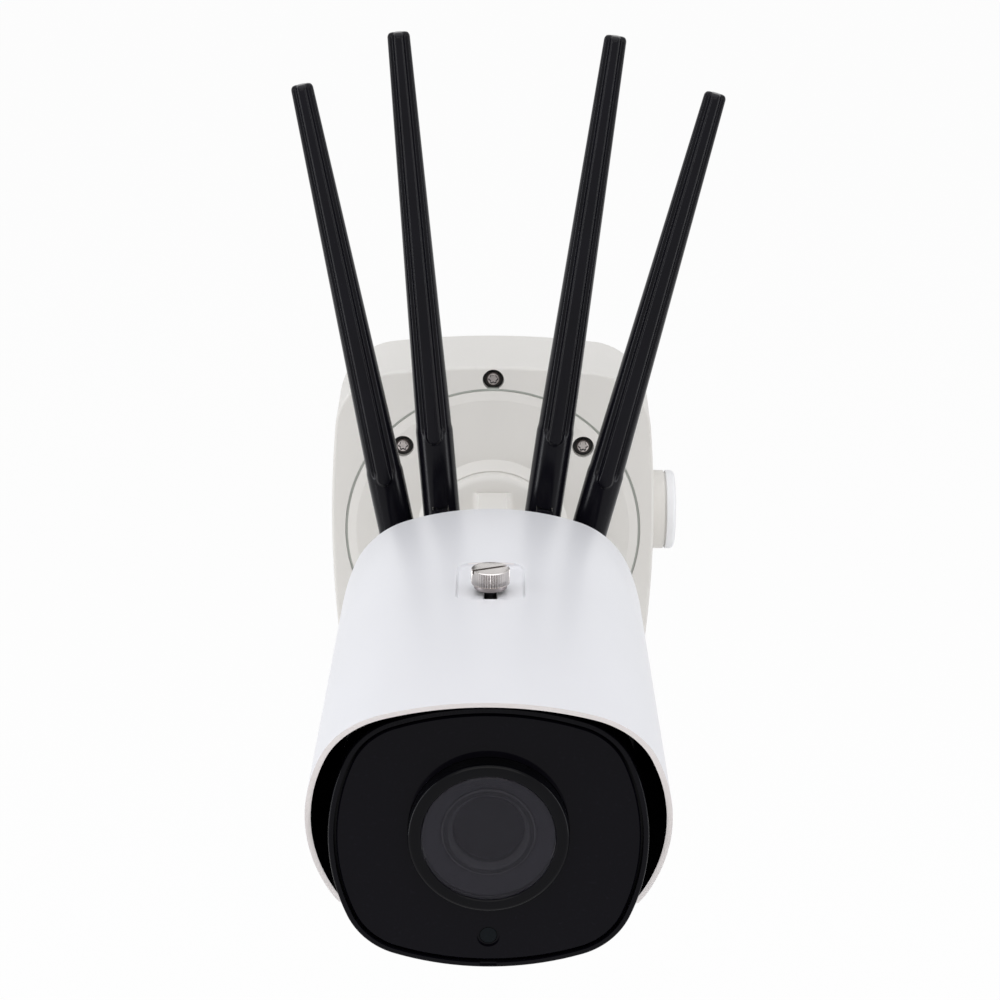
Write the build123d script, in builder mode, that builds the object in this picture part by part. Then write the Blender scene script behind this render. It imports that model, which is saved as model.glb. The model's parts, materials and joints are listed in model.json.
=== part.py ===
from build123d import *
import os
from math import cos, radians, sin, sqrt, tan

# A wall-mounted security camera: junction box, three-axis bracket, camera body with sliding
# sun shield, and four folding antennas.
# Sizes are in millimetres. The origin is the centre of the box's back face, on the wall, +Z is up
# and the camera looks along -Y. A reach is a distance from the wall, measured along -Y.

os.makedirs("parts", exist_ok=True)

# Fits and clearances
RUNNING_FIT = 0.05
MOVING_GAP = 0.3
SEAT_GAP = 0.15
THREAD_GAP = 0.02

# Junction box
BOX_WIDTH = 134.0
BOX_HEIGHT = 141.0
BOX_SIDE_RADIUS = 470.0
BOX_TOP_RADIUS = 358.0
BOX_CORNER = 26.0
BOX_DRAFT = 1.4
BOX_DEPTH = 48.0
BOX_WALL = 4.0
BOX_FLOOR = 3.5
COVER_DEPTH = 12.0
COVER_EDGE = 1.2
COVER_FACE = 8.0
COVER_CABLE_HOLE = 40.0
WALL_BOLT_X = 84.0
WALL_BOLT_Z = 92.0
WALL_HOLE = 5.5
CABLE_ENTRY = 24.0
BOX_GASKET = 1.6
BOX_GASKET_INSET = 1.2
BOX_GASKET_DEPTH = 1.2
COVER_SCREW_INSET = 6.5
COVER_SCREW = 4.0
COVER_SCREW_HEAD = 6.0
COVER_SCREW_HEAD_HEIGHT = 2.6
COVER_COUNTERBORE = 8.6
COVER_COUNTERBORE_DEPTH = 4.0
COVER_SCREW_GRIP = 12.0
COVER_POST = 8.0
TORX_SOCKET = 2.7
TORX_DEPTH = 1.4

# Side conduit port and its plug
PORT_REACH = 18.0
PORT_BORE = 26.0
PORT_BOSS = 33.0
PORT_BOSS_HEIGHT = 4.4
PLUG_CAP = 4.0
PLUG_ROUND = 1.6
PLUG_SPIGOT = 8.0
PLUG_RING_HEIGHT = 0.8
PLUG_RING_WIDTH = 2.4

# Bracket base, sunk in the box cover
FLANGE_RADIUS = 59.4
FLANGE_GROOVE = 1.0
FLANGE_RECESS = 5.0
FLANGE_PROUD = 1.0
FLANGE_BEVEL = 3.6
FLANGE_BEVEL_RISE = 1.0
FLANGE_GASKET = 0.8
FLANGE_GASKET_WIDTH = 18.0
FLANGE_SCREW_CIRCLE = 103.0
FLANGE_SCREW = 4.0
FLANGE_SCREW_HEAD = 5.8
FLANGE_SCREW_HEAD_HEIGHT = 2.2
FLANGE_COUNTERBORE = 8.8
FLANGE_COUNTERBORE_DEPTH = 3.0
BOSS_BASE_RADIUS = 31.0
BOSS_TOP_RADIUS = 27.5
BOSS_HEIGHT = 4.0

# Pan turntable
PAN_BORE_RADIUS = 21.0
PAN_CABLE_BORE = 34.0
CABLE_HOLE = 7.0
TURNTABLE_RADIUS = 27.0
TURNTABLE_HEIGHT = 5.0
TURNTABLE_ROUND = 2.5
RETAINER_RADIUS = 25.0
RETAINER_THICKNESS = 2.5

# Tilt knuckle
PIVOT_STAND = 62.6
TONGUE_WIDTH = 11.0
TONGUE_RADIUS = 13.0
TONGUE_ROOT = 40.0
TONGUE_FILLET = 3.0
WASHER_THICKNESS = 0.8
WASHER_RADIUS = 11.0
CHEEK_THICKNESS = 7.0
CHEEK_RADIUS = 15.0
CROTCH = 19.0
TILT_BOLT = 6.0
TILT_HEAD = 11.0
TILT_HEAD_HEIGHT = 5.0
TILT_SOCKET = 5.0
TILT_SOCKET_DEPTH = 3.0
TILT_NUT_FLATS = 10.0
TILT_NUT_HEIGHT = 5.0

# Arm and roll socket
ARM_LENGTH = 53.0
NECK_RADIUS = 15.0
ARM_BORE = 12.0
ROLL_DISC_RADIUS = 20.0
ROLL_DISC_THICKNESS = 6.0
SOCKET_RADIUS = 25.0
SOCKET_HEIGHT = 10.0
COLLAR_THICKNESS = 4.0
COLLAR_ROUND = 1.0
LOCK_SCREW = 3.0
LOCK_SCREW_LENGTH = 4.5

# Camera section, the outline of the front bezel
FACE_WIDTH = 94.0
FACE_HEIGHT = 83.8
FACE_SIDE_RADIUS = 63.3
FACE_TOP_RADIUS = 92.0
FACE_CORNER = 22.5
BODY_LENGTH = 165.0
HOUSING_INSET = 1.2
HOUSING_WALL = 3.0

# Rear cover
REAR_DEPTH = 14.0
REAR_FLOOR = 4.0
REAR_WALL = 2.0
REAR_ROUND = 4.0
REAR_GASKET = 1.0
GASKET_INSET = 0.6
REAR_SCREW_SPOTS = ((0, 35.0), (39.4, -4.0), (-39.4, -4.0), (24.0, -31.0), (-24.0, -31.0))
REAR_SCREW = 3.0
REAR_SCREW_HEAD = 5.5
REAR_SCREW_HEAD_HEIGHT = 2.4
REAR_COUNTERBORE = 6.2
REAR_COUNTERBORE_DEPTH = 2.6
REAR_POST = 7.6
REAR_POST_LENGTH = 16.0
REAR_SCREW_GRIP = 10.0

# Front bezel and window panel
BEZEL_DEPTH = 14.0
BEZEL_RIM = 1.6
BEZEL_ROUND = 0.7
BEZEL_LEDGE = 7.0
BEZEL_LEDGE_THICKNESS = 2.5
BEZEL_WALL = 3.0
BEZEL_GASKET = 1.0
PANEL_GAP = 0.8
PANEL_SINK = 0.5
PANEL_THICKNESS = 3.0
PANEL_EDGE = 0.4
NOTCH_WIDTH = 5.0

# Lens window and lens
LENS_RISE = 2.7
RING_RADIUS = 23.6
RING_PROUD = 5.0
RING_BEVEL = 1.2
RING_FLANGE_RADIUS = 26.5
GLASS_RADIUS = 19.7
GLASS_THICKNESS = 2.0
GLASS_LEDGE = 1.8
BARREL_RADIUS = 13.85
BARREL_STEP_RADIUS = 11.75
BARREL_SEAT_RADIUS = 9.6
BARREL_BORE_RADIUS = 8.4
BARREL_SINK = 5.5
BARREL_STEP = 1.5
BARREL_SEAT = 5.0
BARREL_LENGTH = 38.0
BARREL_FLANGE_RADIUS = 18.0
BARREL_FLANGE_THICKNESS = 3.0
ELEMENT_EDGE = 2.0
ELEMENT_CROWN = 2.4
ZOOM_LENGTH = 14.0
ZOOM_BORE_RADIUS = 6.0
ZOOM_TRAVEL = 5.0

# Light sensor and infrared lamps
SENSOR_DROP = 31.8
SENSOR_RECESS_RADIUS = 3.4
SENSOR_RADIUS = 2.5
SENSOR_SINK = 0.8
LAMP_BOARD = 1.6
LAMP_SPOTS = ((33.0, 2.7), (29.0, 18.5), (29.0, -13.0))
LAMP_RADIUS = 2.4
LAMP_HEIGHT = 2.2
LAMP_BOARD_CLEARANCE = 1.5

# Inner chassis and boards
CHASSIS_SHEET = 2.0
CHASSIS_CLEARANCE = 0.4
CHASSIS_WINDOW_RADIUS = 9.0
TRAY_WIDTH = 66.0
TRAY_LENGTH = 84.0
TRAY_DROP = 22.0
STANDOFF_HEIGHT = 4.0
STANDOFF_RADIUS = 3.0
STANDOFF_INSET = 6.0
BOARD = 1.6
MODEM_WIDTH = 30.0
MODEM_LENGTH = 42.0
MODEM_HEIGHT = 3.2
FRAME_SIZE = 32.0
FRAME_DEPTH = 7.0
FILTER_SLOT = 1.2
FILTER_THICKNESS = 0.6
FILTER_WIDTH = 11.0
FILTER_HEIGHT = 12.0
FILTER_TRAVEL = 9.0
SENSOR_BOARD_SIZE = 36.0
CHIP_WIDTH = 11.0
CHIP_HEIGHT = 9.0
CHIP_THICKNESS = 1.4

# Service cover on the underside
SERVICE_WIDTH = 40.0
SERVICE_LENGTH = 52.0
SERVICE_CORNER = 5.0
SERVICE_THICKNESS = 1.6
SERVICE_LEDGE = 4.5
SERVICE_SETBACK = 52.0

# Sun shield
SHIELD_GAP = 5.6
SHIELD_THICKNESS = 1.8
SHIELD_OVERHANG = 13.6
SHIELD_SLANT = 24.45
SHIELD_REAR_SETBACK = 160.3
SHIELD_DROP = 33.0
PAD_LENGTH = 16.0
PAD_HEIGHT = 12.0
PAD_SETBACKS = (42.0, 140.0)
POCKET_WIDTH = 22.0
POCKET_LENGTH = 35.0
POCKET_CORNER = 5.0
POCKET_DEPTH = 2.0
POCKET_SETBACK = 86.9
SLOT_WIDTH = 4.4
SLOT_LENGTH = 29.0

# Thumb screw
SCREW_SETBACK = 81.4
SCREW_SHANK = 4.0
SCREW_HEAD = 12.4
SCREW_HEAD_HEIGHT = 4.4
SCREW_HEAD_CHAMFER = 0.7
SCREW_COLLAR = 10.6
SCREW_COLLAR_HEIGHT = 1.6
SCREW_DRIVE_WIDTH = 1.4
SCREW_DRIVE_DEPTH = 1.2
SCREW_DRIVE_TURN = 24.0
SCREW_GRIP = 4.0
SCREW_POST = 14.0

# Antennas: the places of the hinges round the camera's axis, and the lean of each whip
ANTENNA_NAMES = ("antenna_1", "antenna_2", "antenna_3", "antenna_4")
ANTENNA_ANGLES = (153.5, 120.0, 60.0, 26.5)
ANTENNA_LEANS = (-11.0, -4.7, 7.7, 14.5)
ANTENNA_CIRCLE = 37.0
ANTENNA_STAND = 35.0
JACK_THREAD = 6.3
JACK_LENGTH = 9.0
JACK_TAIL = 8.0
JACK_HEX = 8.0
JACK_HEX_HEIGHT = 2.0
JACK_NUT_HEIGHT = 2.2
COUPLING_RADIUS = 5.4
COUPLING_LENGTH = 8.5
COUPLING_GAP = 0.6
ANTENNA_RADIUS = 6.8
BASE_RADIUS = 6.7
BASE_DOME = 2.0
BASE_SETBACK = 7.6
BASE_PIN = 4.0
BASE_PIN_LENGTH = 4.0
KNUCKLE_WIDTH = 5.4
KNUCKLE_RADIUS = 6.0
HINGE_PIN = 2.5
FORK_GAP = 6.0
FORK_ARCH = 9.4
FOOT_RADIUS = 6.6
PIN_LENGTH = 13.0
STEM_LENGTH = 34.0
WHIP_LENGTH = 179.0
BLADE_BLEND = 3.0
BLADE_WIDTH = 13.0
BLADE_DEPTH = 10.4
TIP_WIDTH = 7.8
TIP_DEPTH = 6.4
TIP_ROUND = 1.2
LAND_START = 38.5
LAND_WIDTH = 5.6
LAND_TIP_WIDTH = 3.4
FLUTE = 1.1
FLUTE_TIP = 0.7

# Places worked out from the sizes above
SEAM_REACH = BOX_DEPTH - COVER_DEPTH
COVER_SCREW_RISE = BOX_HEIGHT / 2 - COVER_SCREW_INSET
FLANGE_SEAT = BOX_DEPTH - FLANGE_RECESS + FLANGE_GASKET
FLANGE_FRONT = BOX_DEPTH + FLANGE_PROUD
BOSS_TOP = FLANGE_FRONT + BOSS_HEIGHT
RETAINER_FRONT = FLANGE_SEAT + RETAINER_THICKNESS + MOVING_GAP
TURNTABLE_BACK = BOSS_TOP + MOVING_GAP
TURNTABLE_FRONT = TURNTABLE_BACK + TURNTABLE_HEIGHT
PIVOT_REACH = BOX_DEPTH + PIVOT_STAND
FORK_WIDTH = TONGUE_WIDTH + 2 * (WASHER_THICKNESS + RUNNING_FIT)
FORK_OUTER = FORK_WIDTH + 2 * CHEEK_THICKNESS
REAR_REACH = PIVOT_REACH + ARM_LENGTH
REAR_TOP = REAR_REACH + REAR_DEPTH
SOCKET_MOUTH = REAR_REACH - SOCKET_HEIGHT
ROLL_DISC_BACK = SOCKET_MOUTH + RUNNING_FIT
FACE_REACH = REAR_REACH + BODY_LENGTH
BEZEL_BACK = FACE_REACH - BEZEL_DEPTH
HOUSING_BACK = REAR_TOP + REAR_GASKET
HOUSING_FRONT = BEZEL_BACK - BEZEL_GASKET
HOUSING_TOP = FACE_HEIGHT / 2 - HOUSING_INSET
PANEL_FRONT = FACE_REACH - PANEL_SINK
PANEL_BACK = PANEL_FRONT - PANEL_THICKNESS
LEDGE_BACK = PANEL_BACK - BEZEL_LEDGE_THICKNESS
RING_FRONT = FACE_REACH + RING_PROUD
BARREL_FRONT = RING_FRONT - BARREL_SINK
BARREL_BACK = BARREL_FRONT - BARREL_LENGTH
CHASSIS_BACK = BARREL_BACK - CHASSIS_SHEET
FRAME_BACK = CHASSIS_BACK - FRAME_DEPTH
SHIELD_TOP = FACE_HEIGHT / 2 + SHIELD_GAP + SHIELD_THICKNESS
POCKET_FLOOR = SHIELD_TOP - POCKET_DEPTH
POCKET_UNDER = POCKET_FLOOR - SHIELD_THICKNESS
SCREW_REACH = FACE_REACH - SCREW_SETBACK
SERVICE_REACH = REAR_TOP + SERVICE_SETBACK
HINGE_REACH = REAR_REACH - ANTENNA_STAND
COUPLING_START = REAR_REACH - JACK_HEX_HEIGHT
BASE_START = COUPLING_START - COUPLING_LENGTH - COUPLING_GAP
LENS_AXIS = Axis((0, 0, LENS_RISE), (0, 1, 0))


def reach(distance):
    """Plane that faces the front, at a distance from the wall."""
    return Plane.XZ.offset(distance)


def bowed_face(plane, width, height, side_radius, top_radius, corner, grow):
    """Rectangle with four bowed sides and rounded corners, grown or shrunk by an even margin."""
    x = width / 2 + grow
    y = height / 2 + grow
    side = side_radius + grow
    top = top_radius + grow
    side_centre = Vector(x - side, 0)
    top_centre = Vector(0, y - top)
    across = top_centre - side_centre
    along = (side**2 - top**2 + across.length**2) / (2 * across.length)
    square = sqrt(side**2 - along**2)
    way = across.normalized()
    meet = side_centre + way * along + Vector(-way.Y, way.X) * square
    with BuildSketch(plane) as face:
        with BuildLine():
            ThreePointArc((-meet.X, -meet.Y), (0, -y), (meet.X, -meet.Y))
            ThreePointArc((meet.X, -meet.Y), (x, 0), (meet.X, meet.Y))
            ThreePointArc((meet.X, meet.Y), (0, y), (-meet.X, meet.Y))
            ThreePointArc((-meet.X, meet.Y), (-x, 0), (-meet.X, -meet.Y))
        make_face()
        fillet(face.vertices(), radius=corner + grow)
    return face.sketch


def box_section(distance, grow=0.0):
    """The junction box's outline at a distance from the wall, where its draft has narrowed it."""
    margin = grow - distance * tan(radians(BOX_DRAFT))
    bows = (BOX_SIDE_RADIUS, BOX_TOP_RADIUS)
    return bowed_face(reach(distance), BOX_WIDTH, BOX_HEIGHT, *bows, BOX_CORNER, margin)


def camera_section(distance, grow=0.0):
    """The camera's outline at a distance from the wall, grown by an even margin."""
    bows = (FACE_SIDE_RADIUS, FACE_TOP_RADIUS)
    return bowed_face(reach(distance), FACE_WIDTH, FACE_HEIGHT, *bows, FACE_CORNER, grow)


def flute_spot(land, width, depth):
    """Where a flute beside a land of this width meets the blade's oval section."""
    across = land / width
    return (land / 2, depth / 2 * sqrt(1 - across**2))


def keep(piece, name):
    """Labels a finished piece and writes it."""
    piece.part.label = name
    export_step(piece.part, f"parts/{name}.step")


# Junction box body, open to the front, with wall holes, cable entry and side port
with BuildPart() as box_body:
    loft([box_section(0), box_section(SEAM_REACH)], ruled=True)
    port_face = BOX_WIDTH / 2 + PORT_BOSS_HEIGHT
    with BuildSketch(Plane.YZ.offset(port_face)) as port_boss:
        with Locations((-PORT_REACH, 0)):
            Circle(PORT_BOSS / 2)
    extrude(amount=-PORT_BOSS_HEIGHT - BOX_WALL)
    cavity = [box_section(distance, -BOX_WALL) for distance in (BOX_FLOOR, SEAM_REACH)]
    loft(cavity, ruled=True, mode=Mode.SUBTRACT)
    with BuildSketch(reach(0)) as posts:
        with GridLocations(0, 2 * COVER_SCREW_RISE, 1, 2):
            Circle(COVER_POST / 2)
    extrude(amount=SEAM_REACH)
    with BuildSketch(reach(0)) as wall_holes:
        with GridLocations(WALL_BOLT_X, WALL_BOLT_Z, 2, 2):
            Circle(WALL_HOLE / 2)
        Circle(CABLE_ENTRY / 2)
    extrude(amount=BOX_FLOOR, mode=Mode.SUBTRACT)
    with BuildSketch(Plane.YZ.offset(port_face)) as port_bore:
        with Locations((-PORT_REACH, 0)):
            Circle(PORT_BORE / 2)
    extrude(amount=-PORT_BOSS_HEIGHT - 2 * BOX_WALL, mode=Mode.SUBTRACT)
    with BuildSketch(reach(SEAM_REACH)) as screw_holes:
        with GridLocations(0, 2 * COVER_SCREW_RISE, 1, 2):
            Circle(COVER_SCREW / 2 + THREAD_GAP)
    extrude(amount=-COVER_SCREW_GRIP, mode=Mode.SUBTRACT)
    groove_outer = box_section(SEAM_REACH, -BOX_GASKET_INSET)
    groove_inner = box_section(SEAM_REACH, -BOX_GASKET_INSET - BOX_GASKET)
    extrude(groove_outer - groove_inner, amount=-BOX_GASKET_DEPTH, mode=Mode.SUBTRACT)
keep(box_body, "box_body")

# Sealing cord in the rim of the box
with BuildPart() as cover_gasket:
    extrude(groove_outer - groove_inner, amount=-BOX_GASKET_DEPTH)
keep(cover_gasket, "cover_gasket")

# Front cover of the box, with the round recess that takes the bracket
with BuildPart() as box_cover:
    loft([box_section(SEAM_REACH), box_section(BOX_DEPTH)], ruled=True)
    fillet(box_cover.faces().sort_by(Axis.Y)[0].edges(), radius=COVER_EDGE)
    hollow = box_section(SEAM_REACH, -BOX_WALL)
    extrude(hollow, amount=COVER_DEPTH - COVER_FACE, mode=Mode.SUBTRACT)
    with BuildSketch(reach(BOX_DEPTH)) as recess:
        Circle(FLANGE_RADIUS + FLANGE_GROOVE)
    extrude(amount=-FLANGE_RECESS, mode=Mode.SUBTRACT)
    with BuildSketch(reach(BOX_DEPTH)) as through_holes:
        Circle(COVER_CABLE_HOLE / 2)
        with GridLocations(0, 2 * COVER_SCREW_RISE, 1, 2):
            Circle(COVER_SCREW / 2 + SEAT_GAP)
        with PolarLocations(FLANGE_SCREW_CIRCLE / 2, 4, start_angle=45):
            Circle(FLANGE_SCREW / 2 + THREAD_GAP)
    extrude(amount=-COVER_DEPTH, mode=Mode.SUBTRACT)
    with BuildSketch(reach(BOX_DEPTH)) as counterbores:
        with GridLocations(0, 2 * COVER_SCREW_RISE, 1, 2):
            Circle(COVER_COUNTERBORE / 2)
    extrude(amount=-COVER_COUNTERBORE_DEPTH, mode=Mode.SUBTRACT)
keep(box_cover, "box_cover")

# Cover screws, above and below the bracket
with BuildPart() as cover_screws:
    with BuildSketch(reach(BOX_DEPTH - COVER_COUNTERBORE_DEPTH)) as heads:
        with GridLocations(0, 2 * COVER_SCREW_RISE, 1, 2):
            Circle(COVER_SCREW_HEAD / 2)
    extrude(amount=COVER_SCREW_HEAD_HEIGHT)
    with BuildSketch(reach(BOX_DEPTH - COVER_COUNTERBORE_DEPTH)) as shanks:
        with GridLocations(0, 2 * COVER_SCREW_RISE, 1, 2):
            Circle(COVER_SCREW / 2)
    extrude(amount=-(COVER_DEPTH - COVER_COUNTERBORE_DEPTH) - COVER_SCREW_GRIP + MOVING_GAP)
    with BuildSketch(reach(BOX_DEPTH - COVER_COUNTERBORE_DEPTH + COVER_SCREW_HEAD_HEIGHT)) as sockets:
        with GridLocations(0, 2 * COVER_SCREW_RISE, 1, 2):
            RegularPolygon(TORX_SOCKET / 2, 6)
    extrude(amount=-TORX_DEPTH, mode=Mode.SUBTRACT)
keep(cover_screws, "cover_screws")

# Conduit plug in the side port, and its sealing ring
plug_seat = port_face + PLUG_RING_HEIGHT
with BuildPart() as conduit_plug:
    with BuildSketch(Plane.YZ.offset(plug_seat)) as plug_cap:
        with Locations((-PORT_REACH, 0)):
            Circle(PORT_BOSS / 2)
    extrude(amount=PLUG_CAP)
    fillet(conduit_plug.faces().sort_by(Axis.X)[-1].edges(), radius=PLUG_ROUND)
    with BuildSketch(Plane.YZ.offset(plug_seat)) as plug_spigot:
        with Locations((-PORT_REACH, 0)):
            Circle(PORT_BORE / 2 - THREAD_GAP)
    extrude(amount=-PLUG_SPIGOT)
keep(conduit_plug, "conduit_plug")

with BuildPart() as plug_ring:
    with BuildSketch(Plane.YZ.offset(port_face)) as ring_face:
        with Locations((-PORT_REACH, 0)):
            Circle(PORT_BORE / 2 + PLUG_RING_WIDTH)
            Circle(PORT_BORE / 2, mode=Mode.SUBTRACT)
    extrude(amount=PLUG_RING_HEIGHT)
keep(plug_ring, "plug_ring")

# Bracket base: a disc with a bevelled rim and a raised boss that carries the turntable
with BuildPart() as base_flange:
    with BuildSketch() as flange_profile:
        with BuildLine():
            Polyline(
                (RETAINER_RADIUS + MOVING_GAP, -FLANGE_SEAT),
                (FLANGE_RADIUS, -FLANGE_SEAT),
                (FLANGE_RADIUS, -FLANGE_FRONT + FLANGE_BEVEL_RISE),
                (FLANGE_RADIUS - FLANGE_BEVEL, -FLANGE_FRONT),
                (BOSS_BASE_RADIUS, -FLANGE_FRONT),
                (BOSS_TOP_RADIUS, -BOSS_TOP),
                (PAN_BORE_RADIUS, -BOSS_TOP),
                (PAN_BORE_RADIUS, -RETAINER_FRONT - MOVING_GAP),
                (RETAINER_RADIUS + MOVING_GAP, -RETAINER_FRONT - MOVING_GAP),
                close=True,
            )
        make_face()
    revolve(axis=Axis.Y)
    with BuildSketch(reach(FLANGE_FRONT)) as flange_holes:
        with PolarLocations(FLANGE_SCREW_CIRCLE / 2, 4, start_angle=45):
            Circle(FLANGE_SCREW / 2 + SEAT_GAP)
    extrude(amount=FLANGE_SEAT - FLANGE_FRONT, mode=Mode.SUBTRACT)
    with BuildSketch(reach(FLANGE_FRONT)) as flange_bores:
        with PolarLocations(FLANGE_SCREW_CIRCLE / 2, 4, start_angle=45):
            Circle(FLANGE_COUNTERBORE / 2)
    extrude(amount=-FLANGE_COUNTERBORE_DEPTH, mode=Mode.SUBTRACT)
keep(base_flange, "base_flange")

# Flat seal between bracket and box cover
with BuildPart() as flange_gasket:
    with BuildSketch(reach(BOX_DEPTH - FLANGE_RECESS)) as seal:
        Circle(FLANGE_RADIUS)
        Circle(FLANGE_RADIUS - FLANGE_GASKET_WIDTH, mode=Mode.SUBTRACT)
        with PolarLocations(FLANGE_SCREW_CIRCLE / 2, 4, start_angle=45):
            Circle(FLANGE_SCREW / 2 + SEAT_GAP, mode=Mode.SUBTRACT)
    extrude(amount=FLANGE_GASKET)
keep(flange_gasket, "flange_gasket")

with BuildPart() as flange_screws:
    with BuildSketch(reach(FLANGE_FRONT - FLANGE_COUNTERBORE_DEPTH)) as heads:
        with PolarLocations(FLANGE_SCREW_CIRCLE / 2, 4, start_angle=45):
            Circle(FLANGE_SCREW_HEAD / 2)
    extrude(amount=FLANGE_SCREW_HEAD_HEIGHT)
    with BuildSketch(reach(FLANGE_FRONT - FLANGE_COUNTERBORE_DEPTH)) as shanks:
        with PolarLocations(FLANGE_SCREW_CIRCLE / 2, 4, start_angle=45):
            Circle(FLANGE_SCREW / 2)
    extrude(amount=-(FLANGE_FRONT - FLANGE_COUNTERBORE_DEPTH - BOX_DEPTH + COVER_FACE))
    with BuildSketch(reach(FLANGE_FRONT - FLANGE_COUNTERBORE_DEPTH + FLANGE_SCREW_HEAD_HEIGHT)) as sockets:
        with PolarLocations(FLANGE_SCREW_CIRCLE / 2, 4, start_angle=45):
            RegularPolygon(TORX_SOCKET / 2, 6)
    extrude(amount=-TORX_DEPTH, mode=Mode.SUBTRACT)
keep(flange_screws, "flange_screws")

# Pan turntable: a spigot through the boss, a crowned disc and the tongue of the tilt joint
with BuildPart() as pan_turntable:
    with BuildSketch(reach(TURNTABLE_BACK)) as disc:
        Circle(TURNTABLE_RADIUS)
    extrude(amount=TURNTABLE_HEIGHT)
    fillet(pan_turntable.faces().sort_by(Axis.Y)[0].edges(), radius=TURNTABLE_ROUND)
    with BuildSketch(Plane.YZ.offset(-TONGUE_WIDTH / 2)) as tongue:
        with Locations((-PIVOT_REACH, 0)):
            Circle(TONGUE_RADIUS)
        with Locations((-TURNTABLE_FRONT + TURNTABLE_ROUND, 0)):
            Rectangle(TURNTABLE_ROUND, TONGUE_ROOT)
        make_hull()
    extrude(amount=TONGUE_WIDTH)
    root = pan_turntable.edges().filter_by(Axis.Z).group_by(Axis.Y)[-1]
    fillet(root, radius=TONGUE_FILLET)
    with BuildSketch(reach(RETAINER_FRONT)) as spigot:
        Circle(PAN_BORE_RADIUS - RUNNING_FIT)
    extrude(amount=TURNTABLE_BACK - RETAINER_FRONT)
    with BuildSketch(reach(RETAINER_FRONT)) as cable_way:
        Circle(PAN_CABLE_BORE / 2)
    extrude(amount=TURNTABLE_BACK - RETAINER_FRONT, mode=Mode.SUBTRACT)
    with BuildSketch(reach(TURNTABLE_BACK)) as cable_hole:
        with Locations((TONGUE_WIDTH / 2 + TONGUE_FILLET + CABLE_HOLE / 2, 0)):
            Circle(CABLE_HOLE / 2)
    extrude(amount=TURNTABLE_HEIGHT, mode=Mode.SUBTRACT)
    with BuildSketch(Plane.YZ.offset(-TONGUE_WIDTH / 2)) as pivot_bore:
        with Locations((-PIVOT_REACH, 0)):
            Circle(TILT_BOLT / 2 + RUNNING_FIT)
    extrude(amount=TONGUE_WIDTH, mode=Mode.SUBTRACT)
keep(pan_turntable, "pan_turntable")

# Ring behind the flange that keeps the turntable in
with BuildPart() as pan_retainer:
    with BuildSketch(reach(RETAINER_FRONT)) as retainer:
        Circle(RETAINER_RADIUS)
        Circle(PAN_CABLE_BORE / 2, mode=Mode.SUBTRACT)
    extrude(amount=-RETAINER_THICKNESS)
keep(pan_retainer, "pan_retainer")

# Tilt arm: a fork round the tongue, a round neck and the disc that turns in the roll socket
with BuildPart() as tilt_arm:
    with BuildSketch(Plane.YZ.offset(-FORK_OUTER / 2)) as cheeks:
        with Locations((-PIVOT_REACH, 0)):
            Circle(CHEEK_RADIUS)
        with Locations((-PIVOT_REACH - CROTCH, 0)):
            Rectangle(CHEEK_THICKNESS, 2 * CHEEK_RADIUS)
        make_hull()
    extrude(amount=FORK_OUTER)
    with BuildSketch(reach(PIVOT_REACH + CROTCH)) as neck:
        Circle(NECK_RADIUS)
    extrude(amount=ROLL_DISC_BACK - PIVOT_REACH - CROTCH)
    with BuildSketch(reach(ROLL_DISC_BACK)) as disc:
        Circle(ROLL_DISC_RADIUS - RUNNING_FIT)
    extrude(amount=ROLL_DISC_THICKNESS)
    with BuildSketch(Plane.XY.offset(-CHEEK_RADIUS)) as fork_slot:
        with Locations((0, -PIVOT_REACH)):
            Rectangle(FORK_WIDTH, 2 * CROTCH)
    extrude(amount=2 * CHEEK_RADIUS, mode=Mode.SUBTRACT)
    with BuildSketch(reach(PIVOT_REACH)) as cable_way:
        Circle(ARM_BORE / 2)
    extrude(amount=ROLL_DISC_BACK + ROLL_DISC_THICKNESS - PIVOT_REACH, mode=Mode.SUBTRACT)
    with BuildSketch(Plane.YZ.offset(-FORK_OUTER / 2)) as pivot_bore:
        with Locations((-PIVOT_REACH, 0)):
            Circle(TILT_BOLT / 2 + THREAD_GAP)
    extrude(amount=FORK_OUTER, mode=Mode.SUBTRACT)
keep(tilt_arm, "tilt_arm")

with BuildPart() as tilt_washers:
    for side in (-1, 1):
        with BuildSketch(Plane.YZ.offset(side * FORK_WIDTH / 2)) as washer:
            with Locations((-PIVOT_REACH, 0)):
                Circle(WASHER_RADIUS)
                Circle(TILT_BOLT / 2 + THREAD_GAP, mode=Mode.SUBTRACT)
        extrude(amount=-side * WASHER_THICKNESS)
keep(tilt_washers, "tilt_washers")

# Tilt bolt, head on the right, and its nut on the left
with BuildPart() as tilt_bolt:
    with BuildSketch(Plane.YZ.offset(FORK_OUTER / 2)) as head:
        with Locations((-PIVOT_REACH, 0)):
            Circle(TILT_HEAD / 2)
            RegularPolygon(TILT_SOCKET / 2, 6, mode=Mode.SUBTRACT)
    extrude(amount=TILT_HEAD_HEIGHT)
    with BuildSketch(Plane.YZ.offset(FORK_OUTER / 2)) as shank:
        with Locations((-PIVOT_REACH, 0)):
            Circle(TILT_BOLT / 2)
    extrude(amount=TILT_HEAD_HEIGHT - TILT_SOCKET_DEPTH)
    extrude(shank.sketch, amount=-FORK_OUTER - TILT_NUT_HEIGHT)
keep(tilt_bolt, "tilt_bolt")

with BuildPart() as tilt_nut:
    with BuildSketch(Plane.YZ.offset(-FORK_OUTER / 2)) as hexagon:
        with Locations((-PIVOT_REACH, 0)):
            RegularPolygon(TILT_NUT_FLATS / 2, 6, major_radius=False)
            Circle(TILT_BOLT / 2 + THREAD_GAP, mode=Mode.SUBTRACT)
    extrude(amount=-TILT_NUT_HEIGHT)
keep(tilt_nut, "tilt_nut")

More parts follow.
